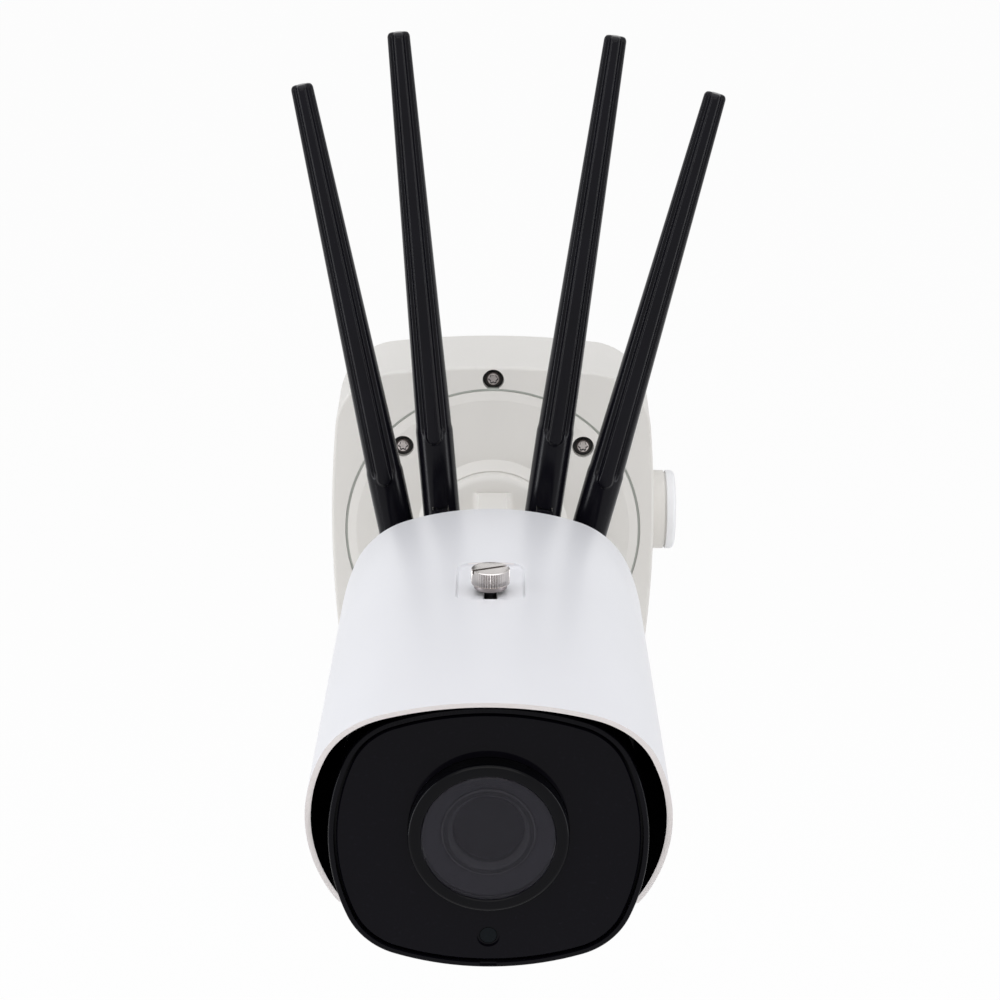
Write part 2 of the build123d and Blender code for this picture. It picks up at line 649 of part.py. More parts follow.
# Rear cover: a cup with the roll socket and the antenna holes
antenna_spots = [
    (ANTENNA_CIRCLE * cos(radians(angle)), ANTENNA_CIRCLE * sin(radians(angle)))
    for angle in ANTENNA_ANGLES
]
with BuildPart() as rear_cover:
    extrude(camera_section(REAR_REACH, -HOUSING_INSET), amount=REAR_DEPTH)
    fillet(rear_cover.faces().sort_by(Axis.Y)[-1].edges(), radius=REAR_ROUND)
    cup = camera_section(REAR_REACH + REAR_FLOOR, -HOUSING_INSET - REAR_WALL)
    extrude(cup, amount=REAR_DEPTH - REAR_FLOOR, mode=Mode.SUBTRACT)
    with BuildSketch(reach(REAR_REACH)) as posts:
        with Locations(*REAR_SCREW_SPOTS):
            Circle(REAR_POST / 2)
    extrude(amount=REAR_DEPTH)
    with BuildSketch(reach(SOCKET_MOUTH)) as socket:
        Circle(SOCKET_RADIUS)
    extrude(amount=SOCKET_HEIGHT)
    with BuildSketch(reach(SOCKET_MOUTH)) as socket_bore:
        Circle(ROLL_DISC_RADIUS)
    extrude(amount=ROLL_DISC_THICKNESS + 2 * RUNNING_FIT, mode=Mode.SUBTRACT)
    with BuildSketch(reach(SOCKET_MOUTH)) as cable_way:
        Circle(ARM_BORE / 2)
    extrude(amount=SOCKET_HEIGHT + REAR_FLOOR, mode=Mode.SUBTRACT)
    with BuildSketch(reach(REAR_REACH)) as jack_holes:
        with Locations(*antenna_spots):
            Circle(JACK_THREAD / 2)
        with Locations(*REAR_SCREW_SPOTS):
            Circle(REAR_SCREW / 2 + SEAT_GAP)
    extrude(amount=REAR_DEPTH, mode=Mode.SUBTRACT)
    with BuildSketch(reach(REAR_REACH)) as counterbores:
        with Locations(*REAR_SCREW_SPOTS):
            Circle(REAR_COUNTERBORE / 2)
    extrude(amount=REAR_COUNTERBORE_DEPTH, mode=Mode.SUBTRACT)
    lock_plane = Plane.XY.offset(-SOCKET_RADIUS)
    with BuildSketch(lock_plane) as lock_hole:
        with Locations((0, -SOCKET_MOUTH - ROLL_DISC_THICKNESS / 2)):
            Circle(LOCK_SCREW / 2 + THREAD_GAP)
    extrude(amount=SOCKET_RADIUS - ROLL_DISC_RADIUS, mode=Mode.SUBTRACT)
keep(rear_cover, "rear_cover")

# Ring screwed over the mouth of the roll socket
with BuildPart() as roll_collar:
    with BuildSketch(reach(SOCKET_MOUTH)) as ring:
        Circle(SOCKET_RADIUS)
        Circle(NECK_RADIUS + MOVING_GAP, mode=Mode.SUBTRACT)
    extrude(amount=-COLLAR_THICKNESS)
    outer_edge = roll_collar.faces().sort_by(Axis.Y)[-1].edges().sort_by(SortBy.RADIUS)[-1]
    fillet(outer_edge, radius=COLLAR_ROUND)
keep(roll_collar, "roll_collar")

with BuildPart() as roll_lock_screw:
    with BuildSketch(lock_plane) as lock_face:
        with Locations((0, -SOCKET_MOUTH - ROLL_DISC_THICKNESS / 2)):
            Circle(LOCK_SCREW / 2)
    extrude(amount=LOCK_SCREW_LENGTH)
keep(roll_lock_screw, "roll_lock_screw")

with BuildPart() as rear_gasket:
    seal_outer = camera_section(REAR_TOP, -HOUSING_INSET - GASKET_INSET)
    seal_inner = camera_section(REAR_TOP, -HOUSING_INSET - HOUSING_WALL)
    extrude(seal_outer - seal_inner, amount=REAR_GASKET)
keep(rear_gasket, "rear_gasket")

with BuildPart() as rear_screws:
    with BuildSketch(reach(REAR_REACH + REAR_COUNTERBORE_DEPTH)) as heads:
        with Locations(*REAR_SCREW_SPOTS):
            Circle(REAR_SCREW_HEAD / 2)
    extrude(amount=-REAR_SCREW_HEAD_HEIGHT)
    with BuildSketch(reach(REAR_REACH + REAR_COUNTERBORE_DEPTH)) as shanks:
        with Locations(*REAR_SCREW_SPOTS):
            Circle(REAR_SCREW / 2)
    extrude(amount=HOUSING_BACK - REAR_REACH - REAR_COUNTERBORE_DEPTH + REAR_SCREW_GRIP)
    with BuildSketch(reach(REAR_REACH + REAR_COUNTERBORE_DEPTH - REAR_SCREW_HEAD_HEIGHT)) as sockets:
        with Locations(*REAR_SCREW_SPOTS):
            RegularPolygon(TORX_SOCKET / 2, 6)
    extrude(amount=TORX_DEPTH, mode=Mode.SUBTRACT)
keep(rear_screws, "rear_screws")

# Camera housing: a tube with rear screw posts, the shield's screw post and the service opening
service_box = Plane.XY.offset(-FACE_HEIGHT)
with BuildPart() as service_prism:
    with BuildSketch(service_box) as service_outline:
        with Locations((0, -SERVICE_REACH)):
            RectangleRounded(SERVICE_WIDTH, SERVICE_LENGTH, SERVICE_CORNER)
    extrude(amount=FACE_HEIGHT)
with BuildPart() as service_layer:
    service_start = SERVICE_REACH - SERVICE_LENGTH
    extrude(camera_section(service_start, SEAT_GAP), amount=2 * SERVICE_LENGTH)
    inside = camera_section(service_start, -HOUSING_INSET - SERVICE_THICKNESS)
    extrude(inside, amount=2 * SERVICE_LENGTH, mode=Mode.SUBTRACT)
    add(service_prism.part, mode=Mode.INTERSECT)

with BuildPart() as housing:
    extrude(camera_section(HOUSING_BACK, -HOUSING_INSET), amount=HOUSING_FRONT - HOUSING_BACK)
    with BuildSketch(Plane.XY.offset(POCKET_UNDER - MOVING_GAP)) as shield_post:
        with Locations((0, -SCREW_REACH)):
            Circle(SCREW_POST / 2)
    extrude(amount=-POCKET_UNDER + HOUSING_TOP - HOUSING_WALL)
    bore = camera_section(HOUSING_BACK, -HOUSING_INSET - HOUSING_WALL)
    extrude(bore, amount=HOUSING_FRONT - HOUSING_BACK, mode=Mode.SUBTRACT)
    with BuildSketch(reach(HOUSING_BACK)) as posts:
        with Locations(*REAR_SCREW_SPOTS):
            Circle(REAR_POST / 2)
    extrude(amount=REAR_POST_LENGTH)
    with BuildSketch(reach(HOUSING_BACK)) as post_holes:
        with Locations(*REAR_SCREW_SPOTS):
            Circle(REAR_SCREW / 2 + THREAD_GAP)
    extrude(amount=REAR_SCREW_GRIP, mode=Mode.SUBTRACT)
    with BuildSketch(Plane.XY.offset(POCKET_UNDER)) as screw_hole:
        with Locations((0, -SCREW_REACH)):
            Circle(SCREW_SHANK / 2 + RUNNING_FIT)
    extrude(amount=-MOVING_GAP - SCREW_GRIP - MOVING_GAP, mode=Mode.SUBTRACT)
    add(service_layer.part, mode=Mode.SUBTRACT)
    with BuildSketch(service_box) as service_opening:
        with Locations((0, -SERVICE_REACH)):
            Rectangle(SERVICE_WIDTH - 2 * SERVICE_LEDGE, SERVICE_LENGTH - 2 * SERVICE_LEDGE)
    extrude(amount=FACE_HEIGHT, mode=Mode.SUBTRACT)
keep(housing, "housing")

# Service cover over the card slots, flush with the underside
with BuildPart() as service_cover:
    with BuildSketch(service_box) as cover_outline:
        with Locations((0, -SERVICE_REACH)):
            RectangleRounded(
                SERVICE_WIDTH - 2 * SEAT_GAP, SERVICE_LENGTH - 2 * SEAT_GAP, SERVICE_CORNER - SEAT_GAP
            )
    extrude(amount=FACE_HEIGHT)
    skin = camera_section(service_start, -HOUSING_INSET)
    extrude(skin, amount=2 * SERVICE_LENGTH, mode=Mode.INTERSECT)
    extrude(inside, amount=2 * SERVICE_LENGTH, mode=Mode.SUBTRACT)
keep(service_cover, "service_cover")

# Gasket and lens front: the black bezel with its rim, ledge and drain notch
with BuildPart() as bezel_gasket:
    seal_outer = camera_section(HOUSING_FRONT, -HOUSING_INSET - GASKET_INSET)
    seal_inner = camera_section(HOUSING_FRONT, -HOUSING_INSET - HOUSING_WALL)
    extrude(seal_outer - seal_inner, amount=BEZEL_GASKET)
keep(bezel_gasket, "bezel_gasket")

with BuildPart() as front_bezel:
    extrude(camera_section(BEZEL_BACK), amount=BEZEL_DEPTH)
    fillet(front_bezel.faces().sort_by(Axis.Y)[0].edges(), radius=BEZEL_ROUND)
    extrude(camera_section(PANEL_BACK, -BEZEL_RIM), amount=FACE_REACH - PANEL_BACK, mode=Mode.SUBTRACT)
    extrude(camera_section(BEZEL_BACK, -BEZEL_LEDGE), amount=BEZEL_DEPTH, mode=Mode.SUBTRACT)
    lamp_room = camera_section(BEZEL_BACK, -BEZEL_WALL)
    extrude(lamp_room, amount=LEDGE_BACK - BEZEL_BACK, mode=Mode.SUBTRACT)
    with BuildSketch(reach(FACE_REACH)) as notch:
        with Locations((0, -FACE_HEIGHT / 2 + BEZEL_RIM)):
            Rectangle(NOTCH_WIDTH, BEZEL_RIM)
    extrude(amount=-PANEL_SINK, mode=Mode.SUBTRACT)
keep(front_bezel, "front_bezel")

with BuildPart() as front_panel:
    extrude(camera_section(PANEL_BACK, -BEZEL_RIM - PANEL_GAP), amount=PANEL_THICKNESS)
    chamfer(front_panel.faces().sort_by(Axis.Y)[0].edges(), length=PANEL_EDGE)
    with BuildSketch(reach(PANEL_FRONT)) as openings:
        with Locations((0, LENS_RISE)):
            Circle(RING_RADIUS + SEAT_GAP)
        with Locations((0, -SENSOR_DROP)):
            Circle(SENSOR_RADIUS + SEAT_GAP)
    extrude(amount=-PANEL_THICKNESS, mode=Mode.SUBTRACT)
    with BuildSketch(reach(PANEL_FRONT)) as dish:
        with Locations((0, -SENSOR_DROP)):
            Circle(SENSOR_RECESS_RADIUS)
    extrude(amount=-SENSOR_SINK, mode=Mode.SUBTRACT)
keep(front_panel, "front_panel")

with BuildPart() as light_sensor:
    with BuildSketch(reach(LEDGE_BACK)) as sensor_face:
        with Locations((0, -SENSOR_DROP)):
            Circle(SENSOR_RADIUS)
    extrude(amount=PANEL_FRONT - SENSOR_SINK - LEDGE_BACK)
keep(light_sensor, "light_sensor")

# Proud ring round the lens window, held behind the panel by its flange
with BuildPart() as lens_ring:
    with BuildSketch(Plane.XY.offset(LENS_RISE)) as ring_profile:
        with BuildLine():
            Polyline(
                (GLASS_RADIUS - GLASS_LEDGE, -LEDGE_BACK),
                (RING_FLANGE_RADIUS, -LEDGE_BACK),
                (RING_FLANGE_RADIUS, -PANEL_BACK),
                (RING_RADIUS, -PANEL_BACK),
                (RING_RADIUS, -RING_FRONT + RING_BEVEL),
                (RING_RADIUS - RING_BEVEL, -RING_FRONT),
                (GLASS_RADIUS + THREAD_GAP, -RING_FRONT),
                (GLASS_RADIUS + THREAD_GAP, -RING_FRONT + GLASS_THICKNESS),
                (GLASS_RADIUS - GLASS_LEDGE, -RING_FRONT + GLASS_THICKNESS),
                close=True,
            )
        make_face()
    revolve(axis=LENS_AXIS)
keep(lens_ring, "lens_ring")

with BuildPart() as window_glass:
    with BuildSketch(reach(RING_FRONT - GLASS_THICKNESS)) as pane:
        with Locations((0, LENS_RISE)):
            Circle(GLASS_RADIUS)
    extrude(amount=GLASS_THICKNESS - THREAD_GAP)
keep(window_glass, "window_glass")

# Lens barrel with its stepped front, the front element and the zoom group that slides inside
element_back = BARREL_FRONT - BARREL_STEP - BARREL_SEAT
with BuildPart() as lens_barrel:
    with BuildSketch(Plane.XY.offset(LENS_RISE)) as barrel_profile:
        with BuildLine():
            Polyline(
                (BARREL_BORE_RADIUS, -BARREL_BACK),
                (BARREL_FLANGE_RADIUS, -BARREL_BACK),
                (BARREL_FLANGE_RADIUS, -BARREL_BACK - BARREL_FLANGE_THICKNESS),
                (BARREL_RADIUS, -BARREL_BACK - BARREL_FLANGE_THICKNESS),
                (BARREL_RADIUS, -BARREL_FRONT),
                (BARREL_STEP_RADIUS, -BARREL_FRONT),
                (BARREL_STEP_RADIUS, -BARREL_FRONT + BARREL_STEP),
                (BARREL_SEAT_RADIUS, -BARREL_FRONT + BARREL_STEP),
                (BARREL_SEAT_RADIUS, -element_back),
                (BARREL_BORE_RADIUS, -element_back),
                close=True,
            )
        make_face()
    revolve(axis=LENS_AXIS)
keep(lens_barrel, "lens_barrel")

with BuildPart() as front_element:
    with BuildSketch(Plane.XY.offset(LENS_RISE)) as lens_profile:
        with BuildLine():
            edge_front = -element_back - ELEMENT_EDGE
            element_radius = BARREL_SEAT_RADIUS - THREAD_GAP
            Polyline((0, edge_front - ELEMENT_CROWN), (0, -element_back), (element_radius, -element_back))
            Line((element_radius, -element_back), (element_radius, edge_front))
            TangentArc((0, edge_front - ELEMENT_CROWN), (element_radius, edge_front), tangent=(1, 0))
        make_face()
    revolve(axis=LENS_AXIS)
keep(front_element, "front_element")

zoom_back = BARREL_BACK + (element_back - BARREL_BACK - ZOOM_LENGTH - ZOOM_TRAVEL) / 2
with BuildPart() as zoom_group:
    with BuildSketch(reach(zoom_back)) as carrier:
        with Locations((0, LENS_RISE)):
            Circle(BARREL_BORE_RADIUS - RUNNING_FIT)
            Circle(ZOOM_BORE_RADIUS, mode=Mode.SUBTRACT)
    extrude(amount=ZOOM_LENGTH)
    with BuildSketch(reach(zoom_back + ZOOM_LENGTH / 2)) as zoom_glass:
        with Locations((0, LENS_RISE)):
            Circle(ZOOM_BORE_RADIUS)
    extrude(amount=ELEMENT_EDGE)
keep(zoom_group, "zoom_group")

# Lamp board against the bezel's ledge, and the infrared lamps on it
lamp_spots = [(side * x, z) for x, z in LAMP_SPOTS for side in (-1, 1)]
with BuildPart() as lamp_board:
    extrude(camera_section(LEDGE_BACK, -BEZEL_WALL - SEAT_GAP), amount=-LAMP_BOARD)
    with BuildSketch(reach(LEDGE_BACK)) as ring_hole:
        with Locations((0, LENS_RISE)):
            Circle(BARREL_RADIUS + LAMP_BOARD_CLEARANCE)
    extrude(amount=-LAMP_BOARD, mode=Mode.SUBTRACT)
keep(lamp_board, "lamp_board")

with BuildPart() as infrared_lamps:
    with BuildSketch(reach(LEDGE_BACK)) as lamps:
        with Locations(*lamp_spots):
            Circle(LAMP_RADIUS)
    extrude(amount=LAMP_HEIGHT)
keep(infrared_lamps, "infrared_lamps")

# Chassis: an upright plate that carries the lens and a tray that carries the boards
standoff_spots = (TRAY_WIDTH - 2 * STANDOFF_INSET, TRAY_LENGTH - 2 * STANDOFF_INSET)
tray_centre = CHASSIS_BACK - TRAY_LENGTH / 2
tray_top = -TRAY_DROP
with BuildPart() as chassis:
    plate = camera_section(CHASSIS_BACK, -HOUSING_INSET - HOUSING_WALL - CHASSIS_CLEARANCE)
    extrude(plate, amount=CHASSIS_SHEET)
    with BuildSketch(reach(CHASSIS_BACK)) as lens_window:
        with Locations((0, LENS_RISE)):
            Circle(CHASSIS_WINDOW_RADIUS)
    extrude(amount=CHASSIS_SHEET, mode=Mode.SUBTRACT)
    with BuildSketch(Plane.XY.offset(tray_top)) as tray:
        with Locations((0, -tray_centre)):
            Rectangle(TRAY_WIDTH, TRAY_LENGTH)
    extrude(amount=-CHASSIS_SHEET)
    with BuildSketch(Plane.XY.offset(tray_top)) as standoffs:
        with Locations((0, -tray_centre)):
            with GridLocations(*standoff_spots, 2, 2):
                Circle(STANDOFF_RADIUS)
    extrude(amount=STANDOFF_HEIGHT)
keep(chassis, "chassis")

board_under = tray_top + STANDOFF_HEIGHT
with BuildPart() as main_board:
    with BuildSketch(Plane.XY.offset(board_under)) as board_face:
        with Locations((0, -tray_centre)):
            RectangleRounded(TRAY_WIDTH, TRAY_LENGTH - 2 * CHASSIS_SHEET, STANDOFF_RADIUS)
    extrude(amount=BOARD)
keep(main_board, "main_board")

with BuildPart() as modem_module:
    with BuildSketch(Plane.XY.offset(board_under + BOARD)) as module_face:
        with Locations((0, -tray_centre + TRAY_LENGTH / 4)):
            RectangleRounded(MODEM_WIDTH, MODEM_LENGTH, STANDOFF_RADIUS / 2)
    extrude(amount=MODEM_HEIGHT)
keep(modem_module, "modem_module")

# Filter frame behind the lens: the day and night filter slides across in its slot
with BuildPart() as filter_frame:
    with BuildSketch(reach(FRAME_BACK)) as frame_face:
        with Locations((0, LENS_RISE)):
            Rectangle(FRAME_SIZE, FRAME_SIZE)
            Rectangle(CHIP_WIDTH + 2 * SEAT_GAP, CHIP_HEIGHT + 2 * SEAT_GAP, mode=Mode.SUBTRACT)
    extrude(amount=FRAME_DEPTH)
    slot_back = FRAME_BACK + FRAME_DEPTH / 2
    with BuildSketch(reach(slot_back)) as filter_slot:
        with Locations((0, LENS_RISE)):
            Rectangle(FILTER_WIDTH + 2 * FILTER_TRAVEL + 2 * MOVING_GAP, FILTER_HEIGHT + 2 * MOVING_GAP)
    extrude(amount=FILTER_SLOT, mode=Mode.SUBTRACT)
keep(filter_frame, "filter_frame")

with BuildPart() as infrared_filter:
    with BuildSketch(reach(slot_back + (FILTER_SLOT - FILTER_THICKNESS) / 2)) as filter_face:
        with Locations((0, LENS_RISE)):
            Rectangle(FILTER_WIDTH, FILTER_HEIGHT)
    extrude(amount=FILTER_THICKNESS)
keep(infrared_filter, "infrared_filter")

with BuildPart() as sensor_board:
    with BuildSketch(reach(FRAME_BACK)) as sensor_sheet:
        with Locations((0, LENS_RISE)):
            Rectangle(SENSOR_BOARD_SIZE, SENSOR_BOARD_SIZE)
    extrude(amount=-BOARD)
keep(sensor_board, "sensor_board")

with BuildPart() as image_sensor:
    with BuildSketch(reach(FRAME_BACK)) as chip:
        with Locations((0, LENS_RISE)):
            Rectangle(CHIP_WIDTH, CHIP_HEIGHT)
    extrude(amount=CHIP_THICKNESS)
keep(image_sensor, "image_sensor")

# Gliders on the housing that the shield slides on
with BuildPart() as shield_pads:
    with BuildSketch(Plane.YZ.offset(-FACE_WIDTH)) as pad_faces:
        for setback in PAD_SETBACKS:
            with Locations((setback - FACE_REACH, 0)):
                Rectangle(PAD_LENGTH, PAD_HEIGHT)
    extrude(amount=2 * FACE_WIDTH)
    pad_skin = camera_section(REAR_REACH, SHIELD_GAP - MOVING_GAP)
    extrude(pad_skin, amount=BODY_LENGTH, mode=Mode.INTERSECT)
    extrude(camera_section(REAR_REACH, -HOUSING_INSET), amount=BODY_LENGTH, mode=Mode.SUBTRACT)
keep(shield_pads, "shield_pads")

# Sun shield: a hood with a slanted front, open below, and the slotted pocket for the thumb screw
shield_rear = FACE_REACH - SHIELD_REAR_SETBACK
shield_length = FACE_REACH + SHIELD_OVERHANG - shield_rear
pocket_spot = (0, POCKET_SETBACK - FACE_REACH)
front_cut = Plane(
    origin=(0, -FACE_REACH - SHIELD_OVERHANG, SHIELD_TOP),
    x_dir=(1, 0, 0),
    z_dir=(0, -cos(radians(SHIELD_SLANT)), -sin(radians(SHIELD_SLANT))),
)
with BuildPart() as hood_room:
    extrude(camera_section(shield_rear, SHIELD_GAP), amount=shield_length)
    with BuildSketch(Plane.XY.offset(POCKET_UNDER)) as pocket_tray:
        with Locations(pocket_spot):
            RectangleRounded(
                POCKET_WIDTH + 2 * SHIELD_THICKNESS,
                POCKET_LENGTH + 2 * SHIELD_THICKNESS,
                POCKET_CORNER + SHIELD_THICKNESS,
            )
    extrude(amount=SHIELD_TOP - POCKET_UNDER, mode=Mode.SUBTRACT)

with BuildPart() as sun_shield:
    extrude(camera_section(shield_rear, SHIELD_GAP + SHIELD_THICKNESS), amount=shield_length)
    add(hood_room.part, mode=Mode.SUBTRACT)
    split(bisect_by=front_cut, keep=Keep.BOTTOM)
    split(bisect_by=Plane.XY.offset(-SHIELD_DROP), keep=Keep.TOP)
    with BuildSketch(Plane.XY.offset(POCKET_FLOOR)) as pocket:
        with Locations(pocket_spot):
            RectangleRounded(POCKET_WIDTH, POCKET_LENGTH, POCKET_CORNER)
    extrude(amount=SHIELD_TOP - POCKET_FLOOR, mode=Mode.SUBTRACT)
    with BuildSketch(Plane.XY.offset(POCKET_UNDER)) as slot:
        with Locations(pocket_spot):
            SlotOverall(SLOT_LENGTH, SLOT_WIDTH, rotation=90)
    extrude(amount=SHIELD_THICKNESS, mode=Mode.SUBTRACT)
keep(sun_shield, "sun_shield")

# Thumb screw through the slot: a knurled head with a driver slot, a collar and the shank
collar_under = POCKET_FLOOR + MOVING_GAP
head_under = collar_under + SCREW_COLLAR_HEIGHT
head_top = head_under + SCREW_HEAD_HEIGHT
with BuildPart() as thumb_screw:
    with BuildSketch(Plane.XY.offset(head_under)) as head:
        with Locations((0, -SCREW_REACH)):
            Circle(SCREW_HEAD / 2)
    extrude(amount=SCREW_HEAD_HEIGHT)
    chamfer(thumb_screw.edges().filter_by(GeomType.CIRCLE), length=SCREW_HEAD_CHAMFER)
    with BuildSketch(Plane.XY.offset(collar_under)) as collar:
        with Locations((0, -SCREW_REACH)):
            Circle(SCREW_COLLAR / 2)
    extrude(amount=SCREW_COLLAR_HEIGHT)
    with BuildSketch(Plane.XY.offset(collar_under)) as shank:
        with Locations((0, -SCREW_REACH)):
            Circle(SCREW_SHANK / 2)
    extrude(amount=POCKET_UNDER - MOVING_GAP - SCREW_GRIP - collar_under)
    with BuildSketch(Plane.XY.offset(head_top)) as drive:
        with Locations((0, -SCREW_REACH)):
            Rectangle(SCREW_HEAD, SCREW_DRIVE_WIDTH, rotation=SCREW_DRIVE_TURN)
    extrude(amount=-SCREW_DRIVE_DEPTH, mode=Mode.SUBTRACT)
keep(thumb_screw, "thumb_screw")

# Antenna jacks through the rear cover, their nuts inside, and the coupling nuts outside
with BuildPart() as antenna_jacks:
    with BuildSketch(reach(REAR_REACH - JACK_LENGTH)) as jacks:
        with Locations(*antenna_spots):
            Circle(JACK_THREAD / 2 - THREAD_GAP)
    extrude(amount=JACK_LENGTH + JACK_TAIL)
    with BuildSketch(reach(REAR_REACH)) as jack_flanges:
        with Locations(*antenna_spots):
            RegularPolygon(JACK_HEX / 2, 6, major_radius=False)
    extrude(amount=-JACK_HEX_HEIGHT)
    with BuildSketch(reach(REAR_REACH - JACK_LENGTH)) as jack_bores:
        with Locations(*antenna_spots):
            Circle(BASE_PIN / 2 + RUNNING_FIT)
    extrude(amount=BASE_PIN_LENGTH, mode=Mode.SUBTRACT)
keep(antenna_jacks, "antenna_jacks")

with BuildPart() as jack_nuts:
    with BuildSketch(reach(REAR_REACH + REAR_FLOOR)) as nuts:
        with Locations(*antenna_spots):
            RegularPolygon(JACK_HEX / 2, 6, major_radius=False)
            Circle(JACK_THREAD / 2, mode=Mode.SUBTRACT)
    extrude(amount=JACK_NUT_HEIGHT)
keep(jack_nuts, "jack_nuts")

with BuildPart() as coupling_nuts:
    with BuildSketch(reach(COUPLING_START)) as couplings:
        with Locations(*antenna_spots):
            Circle(COUPLING_RADIUS)
            Circle(JACK_THREAD / 2, mode=Mode.SUBTRACT)
    extrude(amount=-COUPLING_LENGTH)
keep(coupling_nuts, "coupling_nuts")

# Antennas: a base that swivels on its jack, a hinge pin, and a fluted whip with a forked foot
land_share = (LAND_START - STEM_LENGTH - BLADE_BLEND) / (WHIP_LENGTH - STEM_LENGTH - BLADE_BLEND)
low_width = BLADE_WIDTH + (TIP_WIDTH - BLADE_WIDTH) * land_share
low_depth = BLADE_DEPTH + (TIP_DEPTH - BLADE_DEPTH) * land_share
for name, spot, lean in zip(ANTENNA_NAMES, antenna_spots, ANTENNA_LEANS):
    whip_up = (sin(radians(lean)), 0, cos(radians(lean)))
    hinge_line = (cos(radians(lean)), 0, -sin(radians(lean)))
    hinge_centre = (spot[0], -HINGE_REACH, spot[1])
    foot = Plane(origin=hinge_centre, x_dir=hinge_line, z_dir=whip_up)
    side = Plane(origin=hinge_centre, x_dir=(0, 1, 0), z_dir=hinge_line)

    with BuildPart() as base:
        with BuildSketch(reach(BASE_START)) as barrel:
            with Locations(spot):
                Circle(BASE_RADIUS)
        extrude(amount=HINGE_REACH + BASE_SETBACK - BASE_START)
        fillet(base.faces().sort_by(Axis.Y)[-1].edges(), radius=BASE_DOME)
        with BuildSketch(side.offset(-KNUCKLE_WIDTH / 2)) as knuckle:
            Circle(KNUCKLE_RADIUS)
            with Locations((-BASE_SETBACK / 2 - BASE_DOME / 2, 0)):
                Rectangle(BASE_SETBACK + BASE_DOME, 2 * KNUCKLE_RADIUS)
        extrude(amount=KNUCKLE_WIDTH)
        with BuildSketch(side.offset(-KNUCKLE_WIDTH / 2)) as pin_bore:
            Circle(HINGE_PIN / 2 + THREAD_GAP)
        extrude(amount=KNUCKLE_WIDTH, mode=Mode.SUBTRACT)
        with BuildSketch(reach(BASE_START)) as stem_pin:
            with Locations(spot):
                Circle(BASE_PIN / 2)
        extrude(amount=BASE_PIN_LENGTH)
    keep(base, f"{name}_base")

    with BuildPart() as hinge_pin:
        with BuildSketch(side.offset(-PIN_LENGTH / 2)) as pin:
            Circle(HINGE_PIN / 2)
        extrude(amount=PIN_LENGTH)
    keep(hinge_pin, f"{name}_pin")

    with BuildPart() as whip:
        with BuildSketch(foot.offset(-FORK_ARCH)) as stem:
            Circle(ANTENNA_RADIUS)
        extrude(amount=FORK_ARCH + STEM_LENGTH)
        with BuildSketch(side.offset(-ANTENNA_RADIUS)) as round_foot:
            Circle(FOOT_RADIUS)
            with Locations((0, STEM_LENGTH / 2)):
                Rectangle(2 * FORK_ARCH, STEM_LENGTH)
        extrude(amount=2 * ANTENNA_RADIUS, mode=Mode.INTERSECT)
        with BuildSketch(foot.offset(STEM_LENGTH)) as blade_start:
            Circle(ANTENNA_RADIUS)
        with BuildSketch(foot.offset(STEM_LENGTH + BLADE_BLEND)) as blade_foot:
            Ellipse(BLADE_WIDTH / 2, BLADE_DEPTH / 2)
        loft()
        with BuildSketch(foot.offset(STEM_LENGTH + BLADE_BLEND)) as blade_low:
            Ellipse(BLADE_WIDTH / 2, BLADE_DEPTH / 2)
        with BuildSketch(foot.offset(WHIP_LENGTH)) as blade_high:
            Ellipse(TIP_WIDTH / 2, TIP_DEPTH / 2)
        loft()
        fillet(whip.faces().sort_by(Axis.Z)[-1].edges(), radius=TIP_ROUND)
        for face_side in (-1, 1):
            for flute_side in (-1, 1):
                low = flute_spot(LAND_WIDTH, low_width, low_depth)
                high = flute_spot(LAND_TIP_WIDTH, TIP_WIDTH, TIP_DEPTH)
                with BuildSketch(foot.offset(LAND_START)) as flute_low:
                    with Locations((flute_side * low[0], face_side * low[1])):
                        Circle(FLUTE)
                with BuildSketch(foot.offset(WHIP_LENGTH)) as flute_high:
                    with Locations((flute_side * high[0], face_side * high[1])):
                        Circle(FLUTE_TIP)
                loft(mode=Mode.SUBTRACT)
        with BuildSketch(side.offset(-FORK_GAP / 2)) as fork_slot:
            Circle(FORK_ARCH)
            with Locations((0, -FORK_ARCH / 2)):
                Rectangle(2 * FORK_ARCH, FORK_ARCH)
        extrude(amount=FORK_GAP, mode=Mode.SUBTRACT)
        with BuildSketch(side.offset(-ANTENNA_RADIUS)) as pin_bore:
            Circle(HINGE_PIN / 2 + RUNNING_FIT)
        extrude(amount=2 * ANTENNA_RADIUS, mode=Mode.SUBTRACT)
    keep(whip, f"{name}_whip")
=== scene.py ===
import json
from math import atan2, cos, exp, hypot, pi, radians, sin, sqrt, tau

import bmesh
import bpy
from bmesh.types import BMEdge, BMVert
from bpy.props import FloatProperty, FloatVectorProperty, IntProperty, PointerProperty
from mathutils import Matrix, Vector


